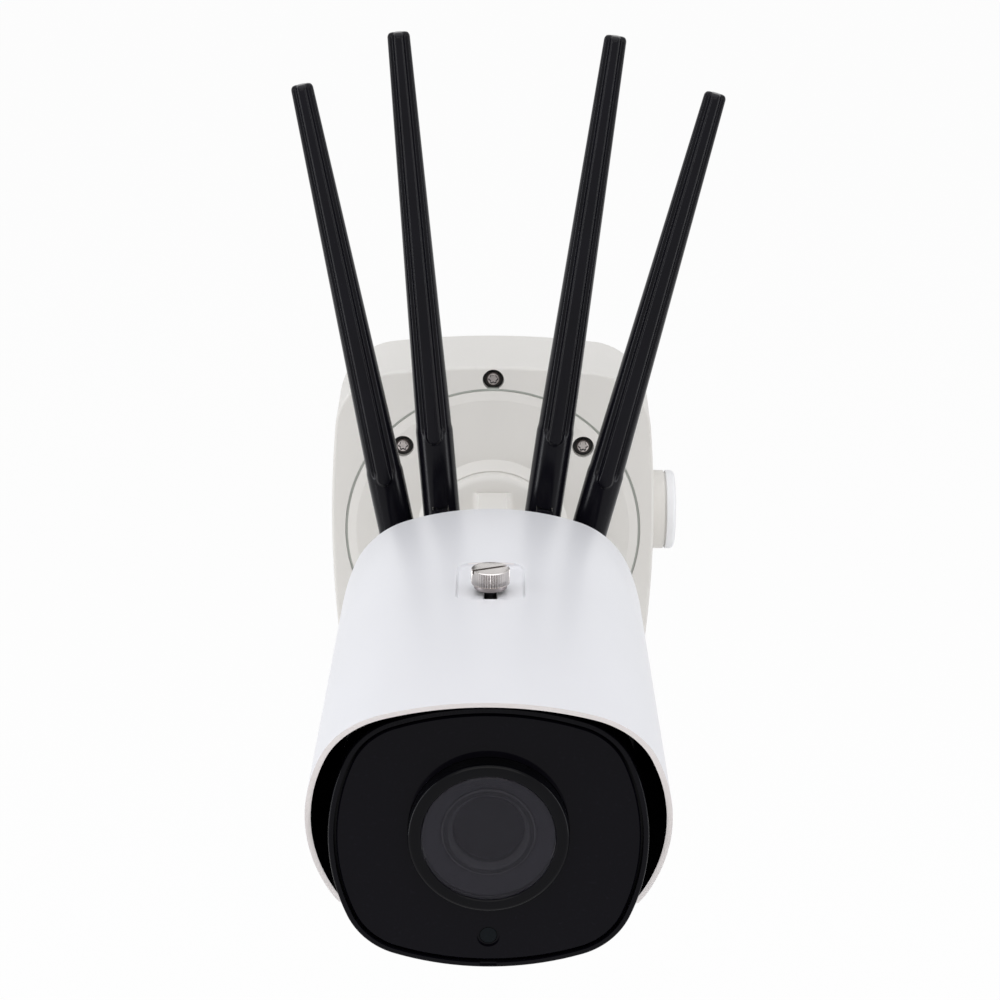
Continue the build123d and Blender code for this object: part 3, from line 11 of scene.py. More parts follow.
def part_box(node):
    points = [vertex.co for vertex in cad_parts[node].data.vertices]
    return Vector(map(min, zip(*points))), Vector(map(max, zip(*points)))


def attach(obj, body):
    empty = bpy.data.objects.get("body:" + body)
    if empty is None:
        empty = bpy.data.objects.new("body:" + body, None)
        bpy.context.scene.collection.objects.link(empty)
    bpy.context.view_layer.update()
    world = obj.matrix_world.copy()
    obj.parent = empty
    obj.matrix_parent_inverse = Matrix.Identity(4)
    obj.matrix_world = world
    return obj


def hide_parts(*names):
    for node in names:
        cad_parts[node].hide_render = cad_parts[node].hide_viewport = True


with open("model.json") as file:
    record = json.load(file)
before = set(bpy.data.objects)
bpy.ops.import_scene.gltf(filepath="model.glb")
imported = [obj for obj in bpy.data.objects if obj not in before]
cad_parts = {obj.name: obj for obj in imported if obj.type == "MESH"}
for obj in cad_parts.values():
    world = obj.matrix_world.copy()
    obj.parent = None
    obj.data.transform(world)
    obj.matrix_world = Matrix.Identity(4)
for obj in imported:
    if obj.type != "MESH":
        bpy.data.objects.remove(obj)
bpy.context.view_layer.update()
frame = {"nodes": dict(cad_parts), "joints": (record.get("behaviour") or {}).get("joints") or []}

bl_info = {
    "name": "Security camera",
    "version": (1, 0, 0),
    "blender": (4, 5, 0),
    "location": "View3D > Sidebar > Security camera",
    "description": "Dresses a wall-mounted security camera and sets it in a plain studio",
    "category": "Object",
}

MM = 0.001
MERGE = 1e-7
ANTENNAS = range(1, 5)

# A turned piece is drawn along Z. FRONT lays it along the camera's axis, towards the viewer,
# BACK turns it to the wall, and SIDE lays it along X, out of the junction box's side.
UPRIGHT = Matrix.Identity(4)
FRONT = Matrix.Rotation(pi / 2, 4, "X")
BACK = Matrix.Rotation(-pi / 2, 4, "X")
SIDE = Matrix.Rotation(pi / 2, 4, "Y")


def length(name, description, default):
    """A size in metres that a user may change."""
    return FloatProperty(
        name=name, description=description, default=default, unit="LENGTH", precision=5
    )


def slope(name, description, default):
    """A turn in radians that a user may change."""
    return FloatProperty(name=name, description=description, default=default, subtype="ANGLE")


def power(name, description, default):
    """A light's power in watts that a user may change."""
    return FloatProperty(name=name, description=description, default=default, min=0, unit="POWER")


def number(name, description, default, low, high):
    """A plain number that a user may change."""
    return FloatProperty(name=name, description=description, default=default, min=low, max=high)


def colour(name, description, default):
    """A paint or plastic colour that a user may change."""
    return FloatVectorProperty(
        name=name, description=description, default=default, subtype="COLOR", min=0, max=1
    )


class HoodSizes(bpy.types.PropertyGroup):
    """The sun shield over the camera."""

    gap: length("Gap", "Space between the camera's outline and the shield", 0.0056)
    thickness: length("Thickness", "Wall of the shield", 0.0018)
    overhang: length("Overhang", "How far the top edge stands before the camera's face", 0.0136)
    slant: slope("Slant", "Lean of the front edge", radians(24.45))
    edge: length("Edge", "Round on the shield's edges", 0.0004)
    pocket_width: length("Pocket width", "Width of the thumb screw's pocket", 0.022)
    pocket_length: length("Pocket length", "Length of the thumb screw's pocket", 0.035)
    pocket_corner: length("Pocket corner", "Corner radius of the pocket", 0.005)
    pocket_depth: length("Pocket depth", "Depth of the pocket below the crown", 0.002)
    pocket_soft: length("Pocket softness", "Round along the pocket's foot and rim", 0.0011)
    pocket_setback: length("Pocket setback", "Middle of the pocket behind the face", 0.0869)
    slot_width: length("Slot width", "Width of the screw's slot", 0.0044)
    slot_length: length("Slot length", "Length of the screw's slot", 0.029)


class AntennaSizes(bpy.types.PropertyGroup):
    """The four fluted antennas."""

    stem: length("Stem radius", "Radius of the round stem", 0.0068)
    stem_length: length("Stem length", "Height of the round stem above the hinge", 0.034)
    blend: length("Blend", "Length over which the stem becomes a blade", 0.003)
    reach: length("Length", "Height of the tip above the hinge", 0.179)
    blade_width: length("Blade width", "Width of the blade at its foot", 0.013)
    blade_depth: length("Blade depth", "Depth of the blade at its foot", 0.0132)
    tip_width: length("Tip width", "Width of the blade at its tip", 0.0078)
    tip_depth: length("Tip depth", "Depth of the blade at its tip", 0.0064)
    tip_round: length("Tip round", "Round of the tip", 0.0018)
    land_foot: length("Land foot", "Height of the land's rounded lower end", 0.0312)
    land_share: number("Land", "Width of the raised land as a share of the blade", 0.40, 0.1, 0.9)
    land_rise: length("Land rise", "Height of the land above the blade", 0.001)
    land_edge: length("Land edge", "Softness of the land's edge", 0.00016)
    flute: length("Flute", "Depth of the flutes beside the land", 0.0009)
    flute_width: length("Flute width", "Half width of a flute", 0.00072)
    fork_gap: length("Fork gap", "Space between the cheeks of the hinge", 0.006)
    fork_arch: length("Fork arch", "Radius of the space round the hinge's knuckle", 0.0094)
    foot: length("Foot radius", "Round of the cheeks below the hinge", 0.0066)


class ScrewSizes(bpy.types.PropertyGroup):
    """The screws that show."""

    knurl_count: IntProperty(
        name="Knurl", description="Ridges round the thumb screw", default=44, min=8
    )
    knurl_depth: length("Knurl depth", "Depth of the thumb screw's ridges", 0.00042)
    thumb_radius: length("Thumb radius", "Radius of the thumb screw's head", 0.0062)
    thumb_height: length("Thumb height", "Height of the thumb screw's head", 0.0050)
    thumb_lift: length("Thumb lift", "How far the thumb screw is drawn up", 0.0017)
    thumb_collar: length("Thumb collar", "Height of the collar under the head", 0.0016)
    star: length("Star", "Radius of the star socket", 0.00172)
    star_depth: length("Star depth", "Depth of the star socket", 0.0008)


class LensSizes(bpy.types.PropertyGroup):
    """The lens and its window."""

    rise: length("Rise", "Height of the lens above the middle of the face", 0.0027)
    ring: length("Ring radius", "Outer radius of the ring round the window", 0.0236)
    ring_proud: length("Ring proud", "How far the ring stands in front of the face", 0.005)
    glass: length("Glass radius", "Radius of the window", 0.0197)
    barrel: length("Barrel radius", "Outer radius of the lens barrel", 0.01385)


class Paints(bpy.types.PropertyGroup):
    """Colours of the finishes."""

    shield: colour("Shield", "White of the sun shield", (0.74, 0.74, 0.765))
    body: colour("Body", "White of the camera body", (0.80, 0.805, 0.815))
    box: colour("Box", "Warm light grey of the box and bracket", (0.735, 0.715, 0.68))
    black: colour("Black", "Black of the antennas", (0.0036, 0.0034, 0.0054))
    gloss: colour("Gloss", "Black of the front panel", (0.0026, 0.0022, 0.0046))
    metal: colour("Metal", "Dark nickel of the small screws", (0.70, 0.64, 0.62))
    nickel: colour("Nickel", "Bright nickel of the thumb screw", (0.62, 0.59, 0.575))


class StageSizes(bpy.types.PropertyGroup):
    """The studio and its camera."""

    lens: number("Lens", "Focal length in millimetres", 81.835, 1.0, 1000.0)
    tilt: slope("Tilt", "How far the camera looks down", 0.314023)
    roll: slope("Roll", "Turn of the camera about its view", 0.0044)
    place: FloatVectorProperty(
        name="Place",
        description="Where the camera stands",
        default=(0.002911, -0.92979, 0.29983),
        subtype="TRANSLATION",
    )
    floor_drop: length("Floor", "Depth of the floor below the wall point", 0.42)
    key: power("Overhead", "Power of the overhead light", 15.0)
    front: power("Front", "Power of the front light", 8.0)
    strip: power("Strips", "Power of the strip lights", 4.5)
    sky: number("Sky", "Strength of the soft light from all round", 0.38, 0.0, 10.0)


class CameraSettings(bpy.types.PropertyGroup):
    """Everything that a user would change."""

    hood: PointerProperty(type=HoodSizes)
    antenna: PointerProperty(type=AntennaSizes)
    screws: PointerProperty(type=ScrewSizes)
    lens: PointerProperty(type=LensSizes)
    paints: PointerProperty(type=Paints)
    stage: PointerProperty(type=StageSizes)


def settings():
    """The sizes and colours in use."""
    return bpy.context.scene.security_camera


# Finishes


def added(tree, kind, socket, source, values):
    """A new shader node with its values set and one socket fed."""
    node = tree.nodes.new(f"ShaderNode{kind}")
    for name, value in values.items():
        node.inputs[name].default_value = value
    tree.links.new(source, node.inputs[socket])
    return node


def coordinates(tree, stretch=(1.0, 1.0, 1.0)):
    """The piece's own coordinates, stretched where a finish has a direction."""
    place = tree.nodes.new("ShaderNodeTexCoord").outputs["Object"]
    return added(tree, "Mapping", "Vector", place, {"Scale": stretch}).outputs["Vector"]


def noise(tree, place, scale, detail=3.0, roughness=0.5):
    """A noise texture on the given coordinates."""
    values = {"Scale": scale, "Detail": detail, "Roughness": roughness}
    return added(tree, "TexNoise", "Vector", place, values).outputs["Fac"]


def spread(tree, pattern, low, high, start=0.3, stop=0.7):
    """Maps the middle of a pattern on to a range."""
    values = {"From Min": start, "From Max": stop, "To Min": low, "To Max": high}
    return added(tree, "MapRange", "Value", pattern, values).outputs["Result"]


def shifted(base, share, rise=0.0):
    """A colour made darker or paler."""
    return tuple(channel * share + rise for channel in base)


def tone(tree, shader, pattern, first, second, start=0.3, stop=0.7):
    """Colours the surface between two tones by a pattern."""
    share = spread(tree, pattern, 0.0, 1.0, start, stop)
    node = tree.nodes.new("ShaderNodeMix")
    node.data_type = "RGBA"
    node.inputs["A"].default_value = (*first, 1.0)
    node.inputs["B"].default_value = (*second, 1.0)
    tree.links.new(share, node.inputs["Factor"])
    tree.links.new(node.outputs["Result"], shader.inputs["Base Color"])


def gloss(tree, shader, pattern, low, high, level=0.5):
    """Spreads the roughness by a pattern, and sets how much the surface mirrors."""
    tree.links.new(spread(tree, pattern, low, high), shader.inputs["Roughness"])
    shader.inputs["Specular IOR Level"].default_value = level


def relief(tree, shader, pattern, depth, strength):
    """Gives the surface a fine relief from a pattern."""
    bump = added(tree, "Bump", "Height", pattern, {"Distance": depth, "Strength": strength})
    tree.links.new(bump.outputs["Normal"], shader.inputs["Normal"])


def painted(tree, shader, base, low=0.36, high=0.46, grain=1400.0, depth=0.00004, shade=0.965):
    """Powder coat or moulded paint: a fine orange peel, and a slow change of tone and gloss."""
    place = coordinates(tree)
    cloud = noise(tree, place, scale=18.0, detail=4.0)
    peel = noise(tree, place, grain, detail=2.0)
    tone(tree, shader, cloud, shifted(base, shade), base)
    gloss(tree, shader, peel, low, high, level=0.35)
    relief(tree, shader, peel, depth, strength=0.35)


def moulded(tree, shader, base, low, high, level):
    """Moulded plastic with a fine satin texture."""
    place = coordinates(tree)
    cloud = noise(tree, place, scale=40.0)
    skin = noise(tree, place, scale=2600.0, detail=2.0)
    tone(tree, shader, cloud, base, shifted(base, 1.35))
    gloss(tree, shader, skin, low, high, level)
    relief(tree, shader, skin, depth=0.00003, strength=0.25)


def polished(tree, shader, base, level):
    """Gloss black acrylic with a trace of dust and wiping marks."""
    place = coordinates(tree)
    wipe = noise(tree, place, scale=30.0, detail=5.0, roughness=0.6)
    dust = noise(tree, place, scale=900.0, detail=1.0)
    tone(tree, shader, dust, base, shifted(base, 1.5, 0.0008), start=0.62, stop=0.80)
    gloss(tree, shader, wipe, 0.05, 0.12, level)


def metal(tree, shader, base, low, high, stretch=(1.0, 1.0, 1.0), grain=700.0):
    """Machined or plated metal with fine tool marks."""
    place = coordinates(tree, stretch)
    marks = noise(tree, place, grain, detail=4.0, roughness=0.6)
    stain = noise(tree, place, scale=120.0)
    tone(tree, shader, stain, shifted(base, 0.82), base)
    gloss(tree, shader, marks, low, high)
    shader.inputs["Metallic"].default_value = 1.0
    relief(tree, shader, marks, depth=0.00002, strength=0.3)


def rubber(tree, shader, base):
    """Matt rubber with a dusty bloom."""
    place = coordinates(tree)
    bloom = noise(tree, place, scale=160.0, detail=4.0)
    tone(tree, shader, bloom, base, shifted(base, 1.0, 0.02))
    gloss(tree, shader, bloom, 0.65, 0.85, level=0.25)
    relief(tree, shader, noise(tree, place, 1800.0, 2.0), depth=0.00004, strength=0.3)


def tinted(tree, shader, base, alpha, level):
    """Thin tinted glass with a little haze from wiping."""
    smear = noise(tree, coordinates(tree), scale=60.0, detail=4.0, roughness=0.6)
    tone(tree, shader, smear, shifted(base, 0.85), base)
    gloss(tree, shader, smear, 0.02, 0.06, level)
    shader.inputs["Alpha"].default_value = alpha


def lens_coat_with_rim_sheen(tree, shader, middle, edge):
    """A coated lens, dark at the crown and paler and more purple towards the rim by the way its
    surface faces: the coat's tint with a painted sheen at the rim.
    """
    place = tree.nodes.new("ShaderNodeTexCoord")
    facing = added(tree, "SeparateXYZ", "Vector", place.outputs["Normal"], {})
    tone(tree, shader, facing.outputs["Y"], edge, middle, start=-0.7, stop=-1.0)
    gloss(tree, shader, noise(tree, place.outputs["Object"], 80.0), 0.14, 0.2, level=0.06)


def circuit(tree, shader, mask, paler, track):
    """Solder-masked board with copper tracks showing through as lighter lines."""
    place = coordinates(tree)
    values = {"Scale": 260.0, "Mortar Size": 0.03}
    for name, tint in (("Color1", mask), ("Color2", paler), ("Mortar", track)):
        values[name] = (*tint, 1.0)
    brick = added(tree, "TexBrick", "Vector", place, values)
    tree.links.new(brick.outputs["Color"], shader.inputs["Base Color"])
    gloss(tree, shader, noise(tree, place, 300.0), 0.3, 0.5)


SHIELD_PEEL = (1600.0, 0.00003, 0.985)
BOX_PEEL = (0.42, 0.55, 1200.0, 0.00006, 0.97)

# What makes each finish, its colour or the name of the user's paint, and its other values
FINISHES = {
    "shield white": (painted, "shield", 0.30, 0.36, *SHIELD_PEEL),
    # The shield's cut front edge: a paler, warmer copy of the shield white, a painted highlight of
    # the warm front lamp
    "shield edge": (painted, (0.86, 0.815, 0.805), 0.44, 0.52, *SHIELD_PEEL),
    "body white": (painted, "body"),
    "box paint": (painted, "box", *BOX_PEEL),
    # The plug's cap: the box paint made paler and cooler, painted light from the lamp at the box's
    # right side
    "plug white": (painted, (0.84, 0.84, 0.85), *BOX_PEEL),
    "shield lining": (moulded, (0.0012, 0.0012, 0.0014), 0.7, 0.85, 0.0),
    "antenna black": (moulded, "black", 0.16, 0.23, 0.12),
    "trim black": (moulded, (0.004, 0.004, 0.005), 0.28, 0.4, 0.2),
    "bezel black": (moulded, (0.0022, 0.002, 0.0036), 0.22, 0.32, 0.09),
    "ring black": (moulded, (0.0026, 0.0026, 0.0036), 0.12, 0.18, 0.09),
    "barrel grey": (moulded, (0.016, 0.016, 0.02), 0.4, 0.55, 0.2),
    # The barrel's chamfer and ridged mouth: a paler grey, painted highlights that show as thin
    # pale circles
    "barrel rim": (moulded, (0.15, 0.15, 0.17), 0.3, 0.4, 0.3),
    "baffle grey": (moulded, (0.058, 0.056, 0.074), 0.5, 0.6, 0.15),
    "washer nylon": (moulded, (0.5, 0.49, 0.45), 0.4, 0.5, 0.4),
    "front panel gloss": (polished, "gloss", 0.09),
    "sensor window": (polished, (0.003, 0.0055, 0.008), 0.09),
    "chip black": (polished, (0.012, 0.012, 0.014), 0.4),
    "dark nickel": (metal, "metal", 0.25, 0.4),
    "bright nickel": (metal, "nickel", 0.16, 0.26, (1, 1, 0.2), 900.0),
    # The thumb screw's collar: a darker copy of the nickel, painted shade under the head
    "collar nickel": (metal, (0.34, 0.31, 0.31), 0.3, 0.42),
    # The socket's floor: a paler copy of the screws' nickel, a painted highlight
    "socket nickel": (metal, (0.80, 0.74, 0.72), 0.3, 0.45),
    # The screws' shoulders: near-black metal, painted shadow of the counterbore round the head
    "screw shoulder": (metal, (0.07, 0.06, 0.058), 0.3, 0.42),
    "coupling black nickel": (metal, (0.10, 0.10, 0.105), 0.25, 0.38),
    "connector brass": (metal, (0.60, 0.44, 0.18), 0.25, 0.38),
    "chassis sheet": (metal, (0.58, 0.59, 0.60), 0.35, 0.5, (1, 6, 1)),
    # Black for the ring round each screw head and for the socket's walls: painted shade in the
    # counterbore and the socket
    "washer rubber": (rubber, (0.03, 0.03, 0.03)),
    # The seals' own grey-green, made paler so that the groove round the base reads lighter:
    # painted light over the groove's shade
    "seal rubber": (rubber, (0.45, 0.475, 0.44)),
    # The plug's seal ring: rubber made pale so that the groove round the cap reads lighter,
    # painted light over the groove's shade
    "plug rubber": (rubber, (0.78, 0.77, 0.74)),
    "body rubber": (rubber, (0.02, 0.02, 0.02)),
    "window glass": (tinted, (0.028, 0.0265, 0.036), 0.44, 0.24),
    "filter glass": (tinted, (0.30, 0.06, 0.09), 0.5, 0.5),
    # The front lens: its coat's tint, paler towards the rim as a painted sheen
    "coated lens": (lens_coat_with_rim_sheen, (0.010, 0.012, 0.011), (0.045, 0.036, 0.052)),
    "board mask": (circuit, (0.012, 0.075, 0.04), (0.016, 0.095, 0.05), (0.04, 0.17, 0.09)),
}


def finish_of(name):
    """A finish from the list, made the first time that it is asked for."""
    finish = bpy.data.materials.get(name)
    if finish is None:
        finish = bpy.data.materials.new(name)
        finish.use_nodes = True
        coat, base, *values = FINISHES[name]
        if isinstance(base, str):
            base = getattr(settings().paints, base)
        coat(finish.node_tree, finish.node_tree.nodes["Principled BSDF"], base, *values)
    return finish


# Making pieces


def mesh_of(name, bm, *finishes):
    """Makes a bmesh into a mesh with its finishes."""
    mesh = bpy.data.meshes.new(name)
    bm.to_mesh(mesh)
    bm.free()
    for finish in finishes:
        mesh.materials.append(finish_of(finish))
    return mesh


def shown(name, data):
    """An object at the origin that shows a mesh, a light or a camera."""
    made = bpy.data.objects.new(name, data)
    bpy.context.scene.collection.objects.link(made)
    return made


def piece(name, bm, finishes, body, slot, *nodes, sharp=32.0):
    """Makes a mesh into a piece that rides on a body and stands for CAD nodes."""
    mesh = mesh_of(name, bm, *finishes)
    mesh.shade_smooth()
    mesh.set_sharp_from_angle(angle=radians(sharp))
    made = shown(name, mesh)
    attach(made, body)
    if nodes:
        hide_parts(*nodes)


def dress(finish, *nodes):
    """Gives CAD nodes a finish."""
    for node in nodes:
        for slot in frame["nodes"][node].material_slots:
            slot.material = finish_of(finish)


def reaches(node):
    """How far in front of the wall a CAD node begins and ends, in millimetres."""
    low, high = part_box(node)
    return -high.y / MM, -low.y / MM


def in_front(x, z, reach):
    """Place of a turned piece that faces the viewer, with its foot this far from the wall."""
    return Matrix.Translation((x, -reach, z)) @ FRONT


def of_kind(kind, geometry):
    """The points or the edges among what a bmesh operator gives back."""
    return [item for item in geometry if isinstance(item, kind)]


def within(verts, geometry):
    """The edges that run between the given points."""
    return [edge for edge in of_kind(BMEdge, geometry) if verts.issuperset(edge.verts)]


def faces_at(verts):
    """The faces that touch the given points."""
    return list({face for vert in verts for face in vert.link_faces})


def whole_turn(bm, points, steps):
    """Spins a chain of points all the way round Z."""
    verts = [bm.verts.new(point) for point in points]
    edges = [bm.edges.new(pair) for pair in zip(verts, verts[1:])]
    bmesh.ops.spin(
        bm, geom=verts + edges, cent=(0, 0, 0), axis=(0, 0, 1), angle=tau, steps=steps,
        use_merge=True,
    )


def newer(bm, older):
    """The points that were added to a mesh."""
    return [vert for vert in bm.verts if vert not in older]


def turned(bm, profile, place, steps):
    """Turns a profile of (radius, height) points in millimetres and puts it in place."""
    older = set(bm.verts)
    whole_turn(bm, [(radius * MM, 0.0, height * MM) for radius, height in profile], steps)
    bmesh.ops.remove_doubles(bm, verts=newer(bm, older), dist=MERGE)
    made = newer(bm, older)
    bmesh.ops.recalc_face_normals(bm, faces=faces_at(made))
    bmesh.ops.transform(bm, matrix=place, verts=made)
    return made


def turned_piece(name, profile, place, steps, finish, *rest, sharp=32.0):
    """A piece that is one turned shape with one finish."""
    bm = bmesh.new()
    turned(bm, profile, place, steps)
    piece(name, bm, (finish,), *rest, sharp=sharp)


def knurled(verts, count, skin, depth):
    """Presses ridges into the points outside a radius about Z, to a share of their radius."""
    for vert in verts:
        if hypot(vert.co.x, vert.co.y) > skin:
            ridge = 0.5 - 0.5 * cos(count * atan2(vert.co.y, vert.co.x))
            vert.co.x *= 1 - depth * ridge
            vert.co.y *= 1 - depth * ridge


def rounded(bm, edges, offset, segments, clamp=False):
    """Rounds edges."""
    bmesh.ops.bevel(
        bm, geom=edges, offset=offset, offset_type="OFFSET", affect="EDGES", segments=segments,
        profile=0.5, material=-1, clamp_overlap=clamp,
    )


def sliced(bm, point, normal, clear=False):
    """Cuts a mesh along a plane, clears what lies past it if asked, and gives the cut's edges."""
    everything = bm.verts[:] + bm.edges[:] + bm.faces[:]
    cut = bmesh.ops.bisect_plane(
        bm, geom=everything, plane_co=point, plane_no=normal, clear_outer=clear, dist=MERGE
    )
    return of_kind(BMEdge, cut["geom_cut"])


def rough_solid(name, bm):
    """A working solid that takes part in a carve."""
    return shown(name, mesh_of(name, bm))


def carve(target, cutter):
    """Cuts one working solid out of another for good and drops it."""
    step = target.modifiers.new("carve", "BOOLEAN")
    step.object = cutter
    step.operation = "DIFFERENCE"
    step.solver = "EXACT"
    bpy.context.view_layer.update()
    ready = target.evaluated_get(bpy.context.evaluated_depsgraph_get())
    mesh = bpy.data.meshes.new_from_object(ready)
    target.modifiers.clear()
    target.data = mesh
    bpy.data.objects.remove(cutter)


def taken_up(solid):
    """The shape of a working solid, which goes."""
    bm = bmesh.new()
    bm.from_mesh(solid.data)
    bpy.data.objects.remove(solid)
    return bm


# The camera's bowed outline: two flat arcs, two tighter side arcs and four corner arcs

FACE_WIDTH = 94.0 * MM
FACE_HEIGHT = 83.8 * MM
SIDE_ARC = 63.3 * MM
TOP_ARC = 92.0 * MM
CORNER_ARC = 22.5 * MM
FACE_REACH = 328.6 * MM
SIDE_CENTRE = Vector((FACE_WIDTH / 2 - SIDE_ARC, 0.0))
TOP_CENTRE = Vector((0.0, FACE_HEIGHT / 2 - TOP_ARC))
SIDE_STEPS, CORNER_STEPS, TOP_STEPS = 20, 14, 24


def corner_centre():
    """Where the corner arc that touches a side arc and the top arc has its centre."""
    near = SIDE_ARC - CORNER_ARC
    far = TOP_ARC - CORNER_ARC
    across = TOP_CENTRE - SIDE_CENTRE
    along = (near**2 - far**2 + across.length_squared) / (2 * across.length)
    way = across.normalized()
    rise = sqrt(near**2 - along**2)
    return SIDE_CENTRE + way * along + Vector((-way.y, way.x)) * rise


def arc(bm, vert, centre, angle, steps):
    """Carries a point round an arc in the plane of the face and returns the last point."""
    middle = (centre[0], vert.co.y, centre[1])
    made = bmesh.ops.spin(
        bm, geom=[vert], cent=middle, axis=(0, -1, 0), angle=angle, steps=steps
    )
    return of_kind(BMVert, made["geom_last"])[0]


def bowed_prism(grow, start, stop):
    """A solid bar with the camera's outline grown by a margin, between two reaches."""
    corner, side, top = corner_centre(), SIDE_CENTRE, TOP_CENTRE
    side_end = atan2(corner.y - side.y, corner.x - side.x)
    top_start = atan2(corner.y - top.y, corner.x - top.x)
    turn = top_start - side_end
    radius = SIDE_ARC + grow
    bm = bmesh.new()
    first = (side.x + radius * cos(-side_end), -start, side.y + radius * sin(-side_end))
    vert = bm.verts.new(first)
    for half in (1, -1):
        for centre, angle, steps in (
            (side * half, 2 * side_end, SIDE_STEPS),
            (corner * half, turn, CORNER_STEPS),
            (top * half, pi - 2 * top_start, TOP_STEPS),
            ((-corner.x * half, corner.y * half), turn, CORNER_STEPS),
        ):
            vert = arc(bm, vert, centre, angle, steps)
    bmesh.ops.remove_doubles(bm, verts=bm.verts[:], dist=1e-6)
    outline = bm.faces.new(loop_of(bm))
    bar = bmesh.ops.extrude_face_region(bm, geom=[outline])["geom"]
    bmesh.ops.translate(bm, vec=(0, start - stop, 0), verts=of_kind(BMVert, bar))
    bmesh.ops.recalc_face_normals(bm, faces=bm.faces[:])
    return bm


def loop_of(bm):
    """The points of a closed wire, in order."""
    first = vert = bm.verts[:][0]
    edge = vert.link_edges[0]
    ordered = [vert]
    while True:
        vert = edge.other_vert(vert)
        if vert is first:
            return ordered
        ordered.append(vert)
        edge = next(other for other in vert.link_edges if other is not edge)


def rounded_bar(width, depth, corner, low, high, middle, foot=0.0):
    """An upright bar with rounded corners, between two heights, with a rounded foot if asked."""
    bm = bmesh.new()
    bmesh.ops.create_cube(bm, size=1.0)
    upright = [edge for edge in bm.edges if abs(edge.verts[0].co.z - edge.verts[1].co.z) > 0.5]
    bmesh.ops.scale(bm, vec=(width, depth, high - low), verts=bm.verts[:])
    rounded(bm, upright, corner, 10)
    if foot:
        base = min(bm.faces, key=lambda face: face.calc_center_median().z)
        rounded(bm, base.edges[:], foot, 6)
    bmesh.ops.translate(bm, vec=(*middle, (low + high) / 2), verts=bm.verts[:])
    return bm


class BuildSunShield(bpy.types.Operator):
    """Makes the sun shield: a white hood, black inside, with the screw's pocket and slot"""

    bl_idname = "security_camera.sun_shield"
    bl_label = "Sun shield"

    past = 0.01
    # Face indices of the black lining and of the front edge, which takes a painted highlight
    lining, lip = 1, 2

    def execute(self, context):
        sizes = settings().hood
        low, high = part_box("sun_shield")
        crown = FACE_HEIGHT / 2 + sizes.gap + sizes.thickness
        front = FACE_REACH + sizes.overhang
        middle = (0.0, sizes.pocket_setback - FACE_REACH)
        forward = Vector((0.0, -cos(sizes.slant), -sin(sizes.slant)))
        bm = taken_up(self.shell(sizes, -high.y, front, crown, middle))
        for point, normal in (((0, 0, low.z), (0, 0, -1)), ((0, -front, crown), forward)):
            bmesh.ops.holes_fill(bm, edges=sliced(bm, point, normal, clear=True), sides=0)
        nearly_flat = radians(0.2)
        bmesh.ops.dissolve_limit(
            bm, angle_limit=nearly_flat, verts=bm.verts[:], edges=bm.edges[:]
        )
        self.soften(bm, sizes, crown, middle)
        bmesh.ops.recalc_face_normals(bm, faces=bm.faces[:])
        # Faces that look inward take the black lining; the front edge's faces take a painted
        # highlight, a paler and warmer white
        for face in bm.faces:
            centre = face.calc_center_median()
            outward = Vector((centre.x, 0.0, centre.z)).normalized()
            if face.normal.dot(outward) < -0.75:
                face.material_index = self.lining
            elif face.normal.dot(forward) > 0.85:
                face.material_index = self.lip
        finishes = ("shield white", "shield lining", "shield edge")
        piece("hood", bm, finishes, "shield", "shield_white", "sun_shield", sharp=30.0)
        return {"FINISHED"}

    def shell(self, sizes, rear, front, crown, middle):
        """The bent wall with the tray of the pocket, and the pocket and the slot cut into it."""
        gap, wall, past = sizes.gap, sizes.thickness, self.past
        wide, long, corner = sizes.pocket_width, sizes.pocket_length, sizes.pocket_corner
        slot, slot_end = sizes.slot_width, sizes.slot_width * 0.499
        top, floor = crown + past, crown - sizes.pocket_depth
        under = floor - wall
        tray = rounded_bar(wide + 2 * wall, long + 2 * wall, corner + wall, under, top, middle)
        pocket = rounded_bar(wide, long, corner, floor, top, middle, sizes.pocket_soft)
        slot = rounded_bar(slot, sizes.slot_length, slot_end, under - past, crown, middle)
        hood = rough_solid("hood_bar", bowed_prism(gap + wall, rear, front))
        room = rough_solid("hood_room", bowed_prism(gap, rear - past, front + past))
        carve(room, rough_solid("hood_tray", tray))
        carve(hood, room)
        carve(hood, rough_solid("hood_pocket", pocket))
        carve(hood, rough_solid("hood_slot", slot))
        return hood

    def soften(self, bm, sizes, crown, middle):
        """Rounds the pocket's rim and the other edges, and keeps the crown flat round the rim."""
        floor = crown - sizes.pocket_depth + sizes.edge
        across, along = sizes.pocket_width / 2, sizes.pocket_length / 2

        def at_pocket(vert):
            beside = abs(vert.co.x) < across + sizes.edge
            return vert.co.z > floor and beside and abs(vert.co.y - middle[1]) < along + sizes.edge

        walls = [edge for edge in bm.edges if len(edge.link_faces) == 2]
        sharp = [edge for edge in walls if edge.calc_face_angle(0.0) > radians(40)]
        rim = [edge for edge in sharp if all(map(at_pocket, edge.verts))]
        rest = set(sharp).difference(rim)
        rounded(bm, rim, sizes.pocket_soft, 6, clamp=True)
        rounded(bm, [edge for edge in rest if edge.is_valid], sizes.edge, 3, clamp=True)
        margin = 3 * sizes.pocket_soft
        for side in (-1, 1):
            sliced(bm, (0, middle[1] + side * (along + margin), 0), (0, 1, 0))
            sliced(bm, (side * (across + margin), 0, 0), (1, 0, 0))


